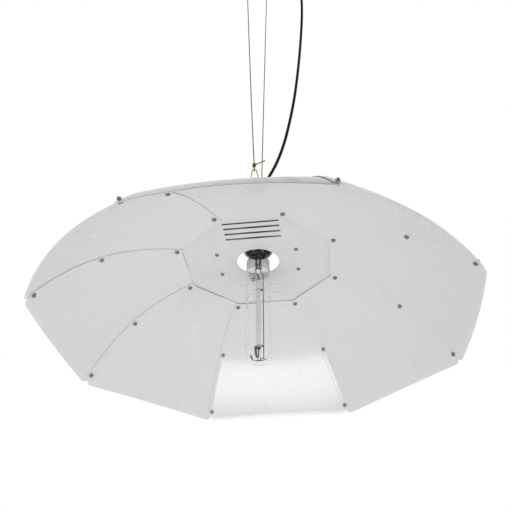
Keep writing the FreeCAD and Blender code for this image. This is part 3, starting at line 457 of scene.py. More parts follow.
def pan_screw(name, length, size=1.0):
    """Cross-slot pan head below the origin, threaded shank up +Z."""
    head_r, head_t, shank_r = HEAD_R * size, HEAD_T * size, M4_R * size
    dome = head_t * 0.45
    profile = [(0, -head_t), (head_r * 0.55, -head_t * 0.98)]
    profile += arc(head_r - dome, -head_t + dome, dome, -80, 0) + [(head_r, 0), (shank_r, 0)]
    z = 0.0006
    while z + THREAD_PITCH < length - 0.0004:
        profile += [(shank_r - THREAD_DEPTH, z), (shank_r, z + THREAD_PITCH / 2)]
        z += THREAD_PITCH
    profile += [(shank_r - THREAD_DEPTH, z), (shank_r - THREAD_DEPTH * 2, length), (0, length)]
    screw = turned_mesh(name, profile, 24)
    cutter = bmesh.new()
    for wide, deep in ((1.15, 0.26), (0.26, 1.15)):
        box = bmesh.ops.create_cube(cutter, size=1.0)
        spread = (wide * head_r, deep * head_r, head_t * 0.9)
        bmesh.ops.scale(cutter, vec=spread, verts=box["verts"])
        bmesh.ops.translate(cutter, vec=(0, 0, -head_t), verts=box["verts"])
    cross = keep_mesh(name + " recess", cutter)
    cut = screw.modifiers.new("cross recess", "BOOLEAN")
    cut.object = cross
    cut.operation = "DIFFERENCE"
    cut.use_self = True
    ready = settled(screw)
    take(cross)
    return ready


def settled(made):
    """The object with its modifiers applied, as a plain mesh."""
    seen = made.evaluated_get(bpy.context.evaluated_depsgraph_get())
    mesh = bpy.data.meshes.new_from_object(seen)
    made.modifiers.clear()
    made.data = mesh
    return made


def fastener_tree():
    """Sets one copy of a fastener on each place, its axis along the place's own direction."""
    tree = bpy.data.node_groups.new("fasteners on their places", "GeometryNodeTree")
    for name, kind in (("Places", "NodeSocketGeometry"), ("Fastener", "NodeSocketObject"),
                       ("Finish", "NodeSocketMaterial"), ("Size", "NodeSocketFloat"),
                       ("Spin seed", "NodeSocketInt")):
        tree.interface.new_socket(name=name, in_out="INPUT", socket_type=kind)
    tree.interface.new_socket(name="Fasteners", in_out="OUTPUT", socket_type="NodeSocketGeometry")
    given = node(tree, "NodeGroupInput")
    result = node(tree, "NodeGroupOutput")
    shape = node(tree, "GeometryNodeObjectInfo", {"Object": given.outputs["Fastener"]})
    facing = node(tree, "GeometryNodeInputNamedAttribute", data_type="FLOAT_VECTOR", Name="facing")
    aligned = node(tree, "FunctionNodeAlignRotationToVector", {"Vector": facing.outputs["Attribute"]},
                   axis="Z")
    spin = node(tree, "FunctionNodeRandomValue", {"Seed": given.outputs["Spin seed"]}, data_type="FLOAT")
    spin.inputs[3].default_value = 2 * math.pi
    twist = node(tree, "FunctionNodeAxisAngleToRotation", {"Angle": spin.outputs[1]})
    turned = node(tree, "FunctionNodeRotateRotation",
                  {"Rotation": aligned.outputs["Rotation"], "Rotate By": twist.outputs["Rotation"]},
                  rotation_space="LOCAL")
    put = node(tree, "GeometryNodeInstanceOnPoints",
               {"Points": given.outputs["Places"], "Instance": shape.outputs["Geometry"],
                "Rotation": turned.outputs["Rotation"], "Scale": given.outputs["Size"]})
    real = node(tree, "GeometryNodeRealizeInstances", {"Geometry": put.outputs["Instances"]})
    painted = node(tree, "GeometryNodeSetMaterial",
                   {"Geometry": real.outputs["Geometry"], "Material": given.outputs["Finish"]})
    tree.links.new(painted.outputs["Geometry"], result.inputs["Fasteners"])
    return tree


FASTENERS = fastener_tree()


def fasten(name, fastener, places, material, seed):
    """Plain mesh of the fastener on every (point, direction) place."""
    made = mesh_object(name, [point for point, _ in places], [])
    facing = made.data.attributes.new("facing", "FLOAT_VECTOR", "POINT")
    for k, (_, direction) in enumerate(places):
        facing.data[k].vector = direction
    setting = made.modifiers.new("fasteners", "NODES")
    setting.node_group = FASTENERS
    values = {"Fastener": fastener, "Finish": material, "Size": 1.0, "Spin seed": seed}
    for socket in FASTENERS.interface.items_tree:
        if socket.name in values:
            setting[socket.identifier] = values[socket.name]
    return settled(made)


def gathered(name, made, material):
    """Joins plain meshes that share one finish into a single object."""
    work = bmesh.new()
    for one in made:
        work.from_mesh(one.data)
    for face in work.faces:
        face.material_index = 0
    for one in made:
        take(one)
    mesh = bpy.data.meshes.new(name)
    work.to_mesh(mesh)
    work.free()
    mesh.materials.append(material)
    return placed(name, mesh)


# Bright zinc plating: blue-grey, semi-gloss, darker where it is handled, with a fine grain
# from the barrel about one millimetre across.
zinc = mottled_finish("bright zinc plating on steel", "#4C4E50", "#BABCBE", 900.0, 5.0,
                      gloss=(0.22, 0.5), relief=(0.15, 0.0001), Metallic=0.9)

CAP_STACK = 0.00165         # from the petal's outer face to the nut, through the cap's skirt
PETAL_STACK = 0.00015
WASHER_AIR = 0.00025


def seam_standoff(r):
    """How far the washer's rim lifts it off the crease between two petals."""
    slope = 2 * DISH_A * r + 4 * DISH_B * r ** 3
    swell = min(BULGES) * ((r - PETAL_START) / (PETAL_END - PETAL_START)) ** 2
    crease = math.sin(HALF) * slope / math.hypot(slope, 1) - 2 * swell / (r * math.sin(HALF))
    return WASHER_R * max(crease, 0) + WASHER_AIR


def seam_places(r, lift):
    places = []
    for seam in range(PETALS):
        angle = (2 * seam + 1) * HALF
        normal = dish_normal(r, angle)
        point = Vector((r * math.cos(angle), r * math.sin(angle), dish_height(r)))
        places.append((point + normal * lift, normal))
    return places


washer_bore = M4_R + 0.0003
washer_edge = 0.0001
washer_shape = turned_mesh("washer shape", [
    (washer_bore, 0), (WASHER_R - washer_edge, 0), (WASHER_R, washer_edge),
    (WASHER_R, WASHER_T - washer_edge), (WASHER_R - washer_edge, WASHER_T),
    (washer_bore, WASHER_T)], 32, True)
nut_bore = M4_R / math.cos(math.pi / 6) + 0.00005
nut_shape = turned_mesh("nut shape", [
    (nut_bore, 0), (NUT_R * 0.9, 0), (NUT_R, 0.0004), (NUT_R, NUT_T - 0.0004), (NUT_R * 0.9, NUT_T),
    (nut_bore, NUT_T)], 6, True)
screws = []
washers = []
nuts = []
for seed, (r, stack) in enumerate(((CAP_SCREWS[0], CAP_STACK), (MID_SCREWS[0], PETAL_STACK),
                                   (RIM_SCREWS[0], PETAL_STACK))):
    inside = -(2 * SHEET + LAP_AIR + seam_standoff(r))
    shank = stack - inside + WASHER_T + NUT_T + THREAD_PROUD
    screw_shape = pan_screw("screw shape", shank)
    screws.append(fasten("seam screws", screw_shape, seam_places(r, inside - WASHER_T), zinc, seed))
    washers.append(fasten("seam washers", washer_shape, seam_places(r, inside - WASHER_T), zinc, seed))
    nuts.append(fasten("seam nuts", nut_shape, seam_places(r, stack), zinc, seed + 5))
    take(screw_shape)
take(washer_shape)
for name, made, nodes in (
        ("zinc_seam_screws", screws, ("cap_seam_screws", "mid_seam_screws", "rim_seam_screws")),
        ("zinc_seam_washers", washers, ("seam_washers",)),
        ("zinc_seam_nuts", nuts, ("cap_seam_nuts", "mid_seam_nuts", "rim_seam_nuts"))):
    joined = gathered(name, made, zinc)
    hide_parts(*nodes)
    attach(joined, "reflector")

# ------------------------------------------------------------------ bracket over the lamp hole
# A 2 mm bridge of galvanised strip, folded in a press brake and bolted down on the cap by four
# M4 screws from inside the bell. It carries the lampholder, the wiring cover and the bails.
BRACKET_T = 0.002
DECK_TOP = RIM_Z + 0.258
BRACKET_SCREWS = [(x, y) for x in (-0.0795, 0.0795) for y in (-0.034, 0.034)]
CAP_SKIRT = 0.035            # from the cap's seam screws in to its flat middle
CAP_FLAT = RIM_Z + CAP_SCREWS[1] + LAP_AIR + CAP_SKIRT * (
    2 * DISH_A * CAP_SCREWS[0] + 4 * DISH_B * CAP_SCREWS[0] ** 3)
UP = Vector((0, 0, 1))

# Hot-dip galvanising: dull grey zinc with frost-like spangles about 6 mm across.
galvanised, tree, shader = principled("hot-dip galvanised steel")
place = node(tree, "ShaderNodeTexCoord")
spangle = node(tree, "ShaderNodeTexVoronoi", {"Vector": place.outputs["Object"]}, Scale=170.0)
shade = node(tree, "ShaderNodeSeparateColor", {"Color": spangle.outputs["Color"]})
tone = node(tree, "ShaderNodeMix", {"Factor": shade.outputs["Red"]}, data_type="RGBA")
tone.inputs["A"].default_value = linear("#7E8285")
tone.inputs["B"].default_value = linear("#A9ADB0")
tree.links.new(tone.outputs["Result"], shader.inputs["Base Color"])
gloss = node(tree, "ShaderNodeMapRange", {"Value": shade.outputs["Green"]}, To_Min=0.35, To_Max=0.6)
tree.links.new(gloss.outputs["Result"], shader.inputs["Roughness"])
frost = node(tree, "ShaderNodeTexNoise", {"Vector": place.outputs["Object"]}, Scale=600.0, Detail=4.0)
bump = node(tree, "ShaderNodeBump", {"Height": frost.outputs["Fac"]}, Strength=0.12, Distance=0.0001)
tree.links.new(bump.outputs["Normal"], shader.inputs["Normal"])
shader.inputs["Metallic"].default_value = 0.85
dress(galvanised, "holder_bracket")

bracket_screw = pan_screw("screw shape", SHEET + BRACKET_T + NUT_T + THREAD_PROUD)
places = [(Vector((x, y, CAP_FLAT)), UP) for x, y in BRACKET_SCREWS]
under_screws = fasten("zinc_bracket_screws", bracket_screw, places, zinc, 11)
take(bracket_screw)
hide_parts("bracket_screws")
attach(under_screws, "reflector")
places = [(Vector((x, y, CAP_FLAT + SHEET + BRACKET_T)), UP) for x, y in BRACKET_SCREWS]
deck_nuts = fasten("zinc_bracket_nuts", nut_shape, places, zinc, 12)
take(nut_shape)
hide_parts("bracket_nuts")
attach(deck_nuts, "reflector")

# ------------------------------------------------------------------ lampholder
# Glazed porcelain body with a nickel-plated brass screw shell and a sprung centre contact, as
# on any mogul-base holder. Two screws through the deck hold it; brass clamps take the cores.
HOLDER_SCREWS = [(-0.016, 0), (0.016, 0)]
HOLDER_MOUTH = RIM_Z + 0.176
HOLDER_DECK = RIM_Z + 0.256
HOLDER_R = 0.0285
HOLDER_LIP_R = 0.030
HOLDER_LIP = 0.009
HOLDER_BORE_R = 0.0214
HOLDER_FLOOR = RIM_Z + 0.2162

# Glazed porcelain: grey-white, glass-smooth, with sparse pin specks in the glaze. Round its
# mouth, inside the rim, it is painted black: painted shade for the gap round the lamp cap.
RIM_BLACK_R = 0.0258
RIM_BLACK_EDGE = 0.0006
porcelain, tree, shader = principled("glazed porcelain")
place = node(tree, "ShaderNodeTexCoord")
speck = node(tree, "ShaderNodeTexNoise", {"Vector": place.outputs["Object"]}, Scale=340.0, Detail=6.0)
spot = node(tree, "ShaderNodeMapRange", {"Value": speck.outputs["Fac"]}, From_Min=0.66, From_Max=0.74)
tone = node(tree, "ShaderNodeMix", {"Factor": spot.outputs["Result"]}, data_type="RGBA")
tone.inputs["A"].default_value = linear("#B9B8B4")
tone.inputs["B"].default_value = linear("#A79F90")
spot = node(tree, "ShaderNodeSeparateXYZ", {"Vector": place.outputs["Object"]})
flat = node(tree, "ShaderNodeCombineXYZ", {"X": spot.outputs["X"], "Y": spot.outputs["Y"]})
reach = node(tree, "ShaderNodeVectorMath", {0: flat.outputs["Vector"]}, operation="LENGTH")
inner = node(tree, "ShaderNodeMapRange", {"Value": reach.outputs["Value"]},
             From_Min=RIM_BLACK_R - RIM_BLACK_EDGE, From_Max=RIM_BLACK_R, To_Min=1.0, To_Max=0.0)
low = node(tree, "ShaderNodeMapRange", {"Value": spot.outputs["Z"]},
           From_Min=HOLDER_MOUTH + 0.004, From_Max=HOLDER_MOUTH + 0.006, To_Min=1.0, To_Max=0.0)
# Painted shade: black inside the mouth's rim, for the shadowed gap round the lamp cap.
painted_gap_shade = node(tree, "ShaderNodeMath", {0: inner.outputs["Result"], 1: low.outputs["Result"]},
             operation="MULTIPLY")
glaze_and_gap_shade = node(tree, "ShaderNodeMix", {"Factor": painted_gap_shade.outputs["Value"], "A": tone.outputs["Result"]},
                data_type="RGBA")
glaze_and_gap_shade.inputs["B"].default_value = linear("#0C0C0C")
tree.links.new(glaze_and_gap_shade.outputs["Result"], shader.inputs["Base Color"])
pull = node(tree, "ShaderNodeTexNoise", {"Vector": place.outputs["Object"]}, Scale=90.0)
bump = node(tree, "ShaderNodeBump", {"Height": pull.outputs["Fac"]}, Strength=0.05, Distance=0.0003)
tree.links.new(bump.outputs["Normal"], shader.inputs["Normal"])
gloss = node(tree, "ShaderNodeMapRange", {"Value": speck.outputs["Fac"]}, To_Min=0.1, To_Max=0.2)
tree.links.new(gloss.outputs["Result"], shader.inputs["Roughness"])
shader.inputs["Coat Weight"].default_value = 0.6
shader.inputs["Coat Roughness"].default_value = 0.05

body = turned_mesh("porcelain_holder_body", [
    (HOLDER_BORE_R, HOLDER_MOUTH + 0.0012), (HOLDER_BORE_R + 0.0012, HOLDER_MOUTH)]
    + arc(HOLDER_LIP_R - 0.002, HOLDER_MOUTH + 0.002, 0.002, -90, 0)
    + arc(HOLDER_LIP_R - 0.002, HOLDER_MOUTH + HOLDER_LIP - 0.002, 0.002, 0, 60)
    + [(HOLDER_R, HOLDER_MOUTH + HOLDER_LIP + 0.001)]
    + arc(HOLDER_R - 0.004, HOLDER_DECK - 0.004, 0.004, 0, 90)
    + [(0, HOLDER_DECK), (0, HOLDER_DECK - 0.010), (0.009, HOLDER_DECK - 0.010), (0.0091, HOLDER_FLOOR),
       (HOLDER_BORE_R, HOLDER_FLOOR)], 72, True)
finish(body, porcelain)
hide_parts("holder_body")
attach(body, "reflector")

# Nickel plate on brass, coloured dark grey as painted shade for the dim inside of the holder, with drawn
# marks running round the shell.
nickel_brass = mottled_finish("nickel-plated brass", "#3C3C3C", "#8B8A86", 1.0, 4.0,
                              gloss=(0.2, 0.45), relief=(0.1, 0.0001), stretch=(60, 60, 1400),
                              Metallic=1.0)
dress(nickel_brass, "holder_screw_shell")

# Bare brass, turned and a little tarnished toward brown.
brass = mottled_finish("turned brass", "#8A6A33", "#CDA653", 220.0, 5.0, gloss=(0.2, 0.42),
                       Metallic=1.0)
dress(brass, "holder_terminals", "contact_plunger", "earth_terminal")
dress(porcelain, "contact_bush")

# Spring wire: a dark warm grey, drawn smooth, mottled by its heat treatment.
spring_metal = mottled_finish("spring wire", "#2E2C2A", "#6A665F", 400.0, 3.0, gloss=(0.25, 0.45),
                              Metallic=1.0)
dress(spring_metal, "contact_spring")

holder_screw = pan_screw("screw shape", BRACKET_T + 0.011, 1.2)
places = [(Vector((x, y, DECK_TOP)), -UP) for x, y in HOLDER_SCREWS]
mount_screws = fasten("zinc_holder_screws", holder_screw, places, zinc, 21)
take(holder_screw)
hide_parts("holder_mount_screws")
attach(mount_screws, "reflector")

# ------------------------------------------------------------------ lamp: glass envelope and stem
# Tubular high-pressure sodium lamp. The envelope is drawn borosilicate tube, closed to a round
# dome below and necked into the cap above, where its stem is pressed round two lead wires.
GLASS_R = 0.024
GLASS_T = 0.0012
LAMP_TIP = RIM_Z - 0.083
SHOULDER = RIM_Z + 0.146
NECK_R = 0.018
NECK = RIM_Z + 0.162
GLASS_END = RIM_Z + 0.180


def envelope_side(inset):
    """Profile of one face of the glass from the dome's tip up to the sealed end."""
    r, neck = GLASS_R - inset, NECK_R - inset
    side = arc(0, LAMP_TIP + GLASS_R, r, -90, 0, 24)
    side += [(r, LAMP_TIP + GLASS_R + (SHOULDER - LAMP_TIP - GLASS_R) * k / 8) for k in range(1, 9)]
    for k in range(1, 13):
        t = k / 12
        ease = t * t * (3 - 2 * t)
        side.append((r + (neck - r) * ease, SHOULDER + (NECK - SHOULDER) * t))
    return side + [(neck, GLASS_END)]


# Clear borosilicate glass: colourless, index 1.47, with very slow waves from the drawing. Painted shade:
# its colour turns grey where it is seen edge-on, for the dark rims along its sides, and a thin grey getter
# film clouds the inside of the neck.
FILM_LOW = RIM_Z + 0.121
clear_glass, tree, shader = principled("clear borosilicate glass")
place = node(tree, "ShaderNodeTexCoord")
wave = node(tree, "ShaderNodeTexNoise", {"Vector": place.outputs["Object"]}, Scale=45.0, Detail=1.0)
bump = node(tree, "ShaderNodeBump", {"Height": wave.outputs["Fac"]}, Strength=0.04, Distance=0.0005)
tree.links.new(bump.outputs["Normal"], shader.inputs["Normal"])
haze = node(tree, "ShaderNodeMapRange", {"Value": wave.outputs["Fac"]}, To_Min=0.0, To_Max=0.03)
tree.links.new(haze.outputs["Result"], shader.inputs["Roughness"])
# Painted shade: the colour darkens to grey where the glass is seen edge-on.
rim = node(tree, "ShaderNodeLayerWeight", Blend=0.35)
edge = node(tree, "ShaderNodeMapRange", {"Value": rim.outputs["Facing"]}, From_Min=0.72, From_Max=1.0)
tone = node(tree, "ShaderNodeMix", {"Factor": edge.outputs["Result"]}, data_type="RGBA")
tone.inputs["A"].default_value = (1.0, 1.0, 1.0, 1.0)
tone.inputs["B"].default_value = linear("#8C9092")
spot = node(tree, "ShaderNodeSeparateXYZ", {"Vector": place.outputs["Object"]})
high = node(tree, "ShaderNodeMapRange", {"Value": spot.outputs["Z"]},
            From_Min=FILM_LOW, From_Max=FILM_LOW + 0.003)
film = node(tree, "ShaderNodeMix", {"Factor": high.outputs["Result"], "A": tone.outputs["Result"]},
            data_type="RGBA", blend_type="MULTIPLY")
film.inputs["B"].default_value = linear("#D4D5D6")
tree.links.new(film.outputs["Result"], shader.inputs["Base Color"])
shader.inputs["Transmission Weight"].default_value = 1.0
shader.inputs["IOR"].default_value = 1.47

glass = turned_mesh("clear_glass_envelope", envelope_side(0) + envelope_side(GLASS_T)[::-1], 96)
finish(glass, clear_glass)
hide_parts("lamp_envelope")
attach(glass, "lamp")
dress(clear_glass, "lamp_stem")

# ------------------------------------------------------------------ lamp: screw cap
# Rolled brass shell, nickel plated, with the coarse rounded thread of 6.35 mm pitch. Black
# vitreous glass insulates it from the brass centre contact soldered on the end.
CAP_R = 0.01975
CAP_ROOT = 0.01885
CAP_BORE = 0.01825
CAP_LOW = RIM_Z + 0.168
CAP_HIGH = RIM_Z + 0.206
CAP_PITCH = 0.00635
THREAD_FADE = 0.003
CAP_STEPS = 72


def rolled_thread(r, z, a):
    """Radius of the shell: a rounded helix that fades out at both plain ends."""
    if r < CAP_ROOT - 0.0001:
        return r
    fade = min(1.0, max(0.0, (z - CAP_LOW - 0.002) / THREAD_FADE),
               max(0.0, (CAP_HIGH - 0.001 - z) / THREAD_FADE))
    crest = 0.5 + 0.5 * math.cos(2 * math.pi * ((z - CAP_LOW) / CAP_PITCH - a / (2 * math.pi)))
    return r + (CAP_R - CAP_ROOT) * fade * crest


cap_wall = [(CAP_ROOT, CAP_LOW + (CAP_HIGH - CAP_LOW) * k / CAP_STEPS) for k in range(CAP_STEPS + 1)]
cap_shell = turned_mesh("threaded_lamp_cap", cap_wall + [(CAP_BORE, CAP_HIGH), (CAP_BORE, CAP_LOW)], 64, True,
                        rolled_thread)
finish(cap_shell, nickel_brass)
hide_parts("lamp_cap_shell")
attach(cap_shell, "lamp")

# Vitrite: opaque black glass, poured and glossy, with a few gas pits.
vitrite = mottled_finish("black vitreous glass", "#0B0B0D", "#26242A", 500.0, 4.0,
                         gloss=(0.05, 0.25))
dress(vitrite, "lamp_cap_insulator")
dress(brass, "lamp_cap_contact")

# ------------------------------------------------------------------ lamp: arc tube and its frame
# A slim tube of translucent sintered alumina with niobium end plugs. One stiff nickel-plated
# rod carries it past its side; short straps and a getter ring are spot welded on.
ARC_R = 0.0048
FRAME_X = 0.0095
ARC_LOW = RIM_Z - 0.046
ARC_HIGH = RIM_Z + 0.104
PINCH = RIM_Z + 0.134
FRAME_LOW = LAMP_TIP + 0.014

# Sintered alumina: milky white and finely granular. The faint emission stands for the light
# scattered inside its wall, which the envelope round it would otherwise keep off.
alumina = mottled_finish("translucent sintered alumina", "#F4F4F4", "#FFFFFF", 700.0, 3.0,
                         gloss=(0.3, 0.45), Emission_Color=linear("#F6F5F2"),
                         Emission_Strength=0.08)
dress(alumina, "arc_tube")

# Niobium: a dull steel grey, slightly blue, matt from firing.
niobium = mottled_finish("fired niobium", "#3A3B40", "#6B6C72", 650.0, 4.0, gloss=(0.4, 0.6),
                         Metallic=1.0)
dress(niobium, "arc_end_plugs")

# Nickel-plated iron wire: smooth grey, faint lengthwise draw lines and blued weld marks.
nickel_wire = mottled_finish("nickel-plated wire", "#333436", "#6C6E70", 1.0, 3.0,
                             gloss=(0.22, 0.4), stretch=(900, 900, 70), Metallic=1.0)


def cord_curve(name, points, diameter, sides=6):
    """One open NURBS spline through the control points, with a round bevel."""
    curve = bpy.data.curves.new(name, "CURVE")
    curve.dimensions = "3D"
    spline = curve.splines.new("NURBS")
    spline.points.add(len(points) - 1)
    for spot, point in zip(spline.points, points):
        spot.co = (*point, 1)
    spline.order_u = 3
    spline.use_endpoint_u = True
    spline.resolution_u = 12
    curve.bevel_depth = diameter / 2
    curve.bevel_resolution = sides
    curve.use_fill_caps = True
    return placed(name, curve)


def softened(points, bend=0.0025):
    """Control points that keep the straight runs and round each corner."""
    points = [Vector(p) for p in points]
    out = [points[0]]
    for before, corner, after in zip(points, points[1:], points[2:]):
        reach = min(bend, (corner - before).length * 0.45, (after - corner).length * 0.45)
        out += [corner + (before - corner).normalized() * reach, corner,
                corner + (after - corner).normalized() * reach]
    return out + [points[-1]]


def ring_points(x, y, z, radius, steps=12):
    angles = [2 * math.pi * k / steps for k in range(steps + 1)]
    return [(x + radius * math.cos(a), y + radius * math.sin(a), z) for a in angles]


GETTER = (-0.010, 0.0, RIM_Z + 0.108)
STRAP_LEVELS = (RIM_Z + 0.081, RIM_Z - 0.044)
side_rod = [(0.005, 0, PINCH - 0.0001), (0.005, 0, PINCH - 0.008), (FRAME_X, 0, PINCH - 0.014),
            (FRAME_X, 0, FRAME_LOW), (0.0016, 0, FRAME_LOW)]
short_lead = [(-0.005, 0, PINCH - 0.0001), (-0.005, 0, PINCH - 0.009), (0, 0, PINCH - 0.017),
              (0, 0, ARC_HIGH + 0.0101)]
lower_pin = [(0, 0, FRAME_LOW + 0.001), (0, 0, ARC_LOW - 0.0101)]
getter_stem = [(-0.005, 0, PINCH - 0.006), (-0.0085, 0, PINCH - 0.012), (-0.0095, 0, GETTER[2] + 0.004)]
wires = [("side rod", softened(side_rod), 0.0018), ("short lead", softened(short_lead), 0.0016),
         ("lower pin", lower_pin, 0.0020), ("getter stem", softened(getter_stem), 0.0007)]
for x in (-0.0034, 0.0034):
    sealed = [(x, 0, PINCH + 0.0002), (x, 0, PINCH + 0.012), (x * 0.5, 0, PINCH + 0.030)]
    wires.append(("sealed lead", sealed, 0.0026))
for level in STRAP_LEVELS:
    wires.append(("tube strap", ring_points(0, 0, level, ARC_R + 0.0006), 0.0010))
    wires.append(("strap tail", [(ARC_R + 0.0006, 0, level), (FRAME_X - 0.0009, 0, level)], 0.0038))
made = []
for name, points, diameter in wires:
    wire = cord_curve(name, points, diameter, 3)
    mesh = bpy.data.meshes.new_from_object(wire.evaluated_get(bpy.context.evaluated_depsgraph_get()))
    take(wire)
    made.append(placed(name, mesh))
made.append(turned_mesh("getter ring", [
    (0.0026, -0.0012), (0.0042, -0.0012), (0.0042, 0.0010), (0.0038, 0.0010), (0.0038, -0.0008),
    (0.0026, -0.0008)], 32, True))
upright = Matrix.Rotation(math.radians(78), 4, "X")
made[-1].data.transform(Matrix.Translation(GETTER) @ upright)
frame_wires = gathered("nickel_frame_wires", made, nickel_wire)
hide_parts("lamp_frame_wires")
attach(frame_wires, "lamp")

# ------------------------------------------------------------------ lamp: springs in the dome
# Three leaf springs of thin strip, welded to a collar round the foot of the frame. They press
# outward on the dome and keep the frame off the glass.
LEAF_WIDTH = 0.0044
LEAF_T = 0.0004
LEAF_STEPS = 14
COLLAR_R = 0.0032
COLLAR_LOW = FRAME_LOW - 0.0042
COLLAR_HIGH = FRAME_LOW - 0.0012
LEAF_ROOT = Vector((0.0030, 0, FRAME_LOW - 0.0034))
LEAF_BEND = Vector((0.0185, 0, FRAME_LOW - 0.0018))
LEAF_TIP = Vector((0.0206, 0, FRAME_LOW + 0.014))
LEAF_ANGLES = (20, 140, 260)


def leaf_spring(angle):
    """One strip, flat across and bent lengthwise in a smooth curve."""
    vertices = []
    for k in range(LEAF_STEPS + 1):
        t = k / LEAF_STEPS
        middle = LEAF_ROOT * (1 - t) ** 2 + LEAF_BEND * 2 * t * (1 - t) + LEAF_TIP * t ** 2
        vertices += [middle + Vector((0, side * LEAF_WIDTH / 2, 0)) for side in (-1, 1)]
    faces = [(2 * k, 2 * k + 1, 2 * k + 3, 2 * k + 2) for k in range(LEAF_STEPS)]
    leaf = mesh_object("leaf spring", vertices, faces)
    leaf.data.transform(Matrix.Rotation(math.radians(angle), 4, "Z"))
    solidify(leaf, LEAF_T)
    return settled(leaf)


made = [leaf_spring(angle) for angle in LEAF_ANGLES]
made.append(turned_mesh("collar", [(0, COLLAR_LOW), (COLLAR_R, COLLAR_LOW), (COLLAR_R, COLLAR_HIGH),
                                   (0, COLLAR_HIGH)]))
leaves = gathered("dome_leaf_springs", made, nickel_wire)
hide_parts("dome_springs")
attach(leaves, "lamp")

# ------------------------------------------------------------------ wiring cover and gland
# A moulded black nylon box covers the terminals on the deck, held by two screws through its
# side tabs. The lead enters through a clamping gland with a locknut inside the roof.
COVER_SCREWS = [(-0.038, 0), (0.038, 0)]
COVER_T = 0.002
GLAND_SEAT = DECK_TOP + 0.034
GLAND_R = 0.008
GLAND_HEX_R = 0.011
LEAD_R = 0.0035              # the mains lead that the gland grips

# Moulded nylon: charcoal black, satin, with the fine spark-eroded texture of its mould.
nylon = mottled_finish("moulded black nylon", "#151617", "#2B2C2E", 850.0, 4.0, gloss=(0.4, 0.6),
                       relief=(0.25, 0.0002))
dress(nylon, "wiring_cover", "gland_locknut")


def domed_nut(r, z, a):
    """Turns a circle into a hexagon where the gland is gripped by a spanner."""
    if GLAND_SEAT + 0.0003 < z < GLAND_SEAT + 0.0058 and r > GLAND_R:
        return r * math.cos(math.pi / 6) / math.cos((a + math.pi / 6) % (math.pi / 3) - math.pi / 6)
    return r


gland = turned_mesh("nylon_cable_gland", [
    (LEAD_R + 0.0001, GLAND_SEAT - 0.010), (GLAND_R, GLAND_SEAT - 0.010), (GLAND_R, GLAND_SEAT),
    (GLAND_HEX_R * 0.96, GLAND_SEAT), (GLAND_HEX_R, GLAND_SEAT + 0.0004),
    (GLAND_HEX_R, GLAND_SEAT + 0.0056), (GLAND_HEX_R * 0.92, GLAND_SEAT + 0.006),
    (GLAND_R + 0.0015, GLAND_SEAT + 0.0062)]
    + arc(LEAD_R + 0.0015, GLAND_SEAT + 0.008, 0.0046, 0, 80)
    + [(LEAD_R + 0.0008, GLAND_SEAT + 0.0135), (LEAD_R + 0.0001, GLAND_SEAT + 0.0135)], 72, True, domed_nut)
finish(gland, nylon)
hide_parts("cable_gland")
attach(gland, "reflector")

cover_screw = pan_screw("screw shape", COVER_T + BRACKET_T + 0.004)
places = [(Vector((x, y, DECK_TOP + COVER_T)), -UP) for x, y in COVER_SCREWS]
lid_screws = fasten("zinc_cover_screws", cover_screw, places, zinc, 31)
take(cover_screw)
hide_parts("cover_screws")
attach(lid_screws, "reflector")


# The earth sleeve's yellow stripe is drawn as slanting bands about 4 mm apart.
earth_sleeve, tree, shader = principled("green and yellow earth sleeve")
place = node(tree, "ShaderNodeTexCoord")
stripe = node(tree, "ShaderNodeTexWave", {"Vector": place.outputs["Object"]}, wave_type="BANDS",
              bands_direction="DIAGONAL", Scale=150.0, Distortion=0.4)
edge = node(tree, "ShaderNodeMapRange", {"Value": stripe.outputs["Fac"]}, From_Min=0.62, From_Max=0.7)
tone = node(tree, "ShaderNodeMix", {"Factor": edge.outputs["Result"]}, data_type="RGBA")
tone.inputs["A"].default_value = linear("#2E7D32")
tone.inputs["B"].default_value = linear("#D9C62B")
tree.links.new(tone.outputs["Result"], shader.inputs["Base Color"])
gloss = node(tree, "ShaderNodeMapRange", {"Value": stripe.outputs["Fac"]}, To_Min=0.25, To_Max=0.35)
tree.links.new(gloss.outputs["Result"], shader.inputs["Roughness"])
dress(earth_sleeve, "earth_core")

# PVC core insulation: glossy, evenly coloured, with faint extrusion mottling about 3 mm across.
for name, dark, light, core in (("brown PVC sleeve", "#4E2E18", "#6A4024", "live_core"),
                                ("blue PVC sleeve", "#1B4F8F", "#2E6BB3", "neutral_core")):
    dress(mottled_finish(name, dark, light, 320.0, 2.0, gloss=(0.25, 0.4)), core)

# ------------------------------------------------------------------ bails and ceiling hooks
# Two bails of 2 mm yellow-passivated wire are hooked under the deck's edge holes and meet the
# cords. Overhead, two screwed eye hooks of 4.5 mm galvanised rod hold the cords' loops.

# Yellow passivation: thin gold film on zinc with faint green and pink drift.
yellow_zinc = mottled_finish("yellow passivated wire", "#8F7336", "#C7AE74", 150.0, 3.0,
                             gloss=(0.25, 0.45), Metallic=0.8)
dress(yellow_zinc, "bail_wire_front", "bail_wire_rear")
dress(galvanised, "ceiling_hook_front", "ceiling_hook_rear")

# ------------------------------------------------------------------ hanging cords
# Two lengths of thin green braided polypropylene cord, pulled straight by the lamp's
# weight, run from the bails on the lampholder bracket up to two ceiling hooks.
CORD_D = 0.0025
HANG_ROUTES = {
    "front": [(-0.0002, -0.064, RIM_Z + 0.367), (-0.0075, -0.064, RIM_Z + 0.565), (-0.0236, -0.064, -0.0563)],
    "rear": [(0.0002, 0.064, RIM_Z + 0.367), (0.0070, 0.064, RIM_Z + 0.640), (0.0236, 0.064, -0.0563)]}


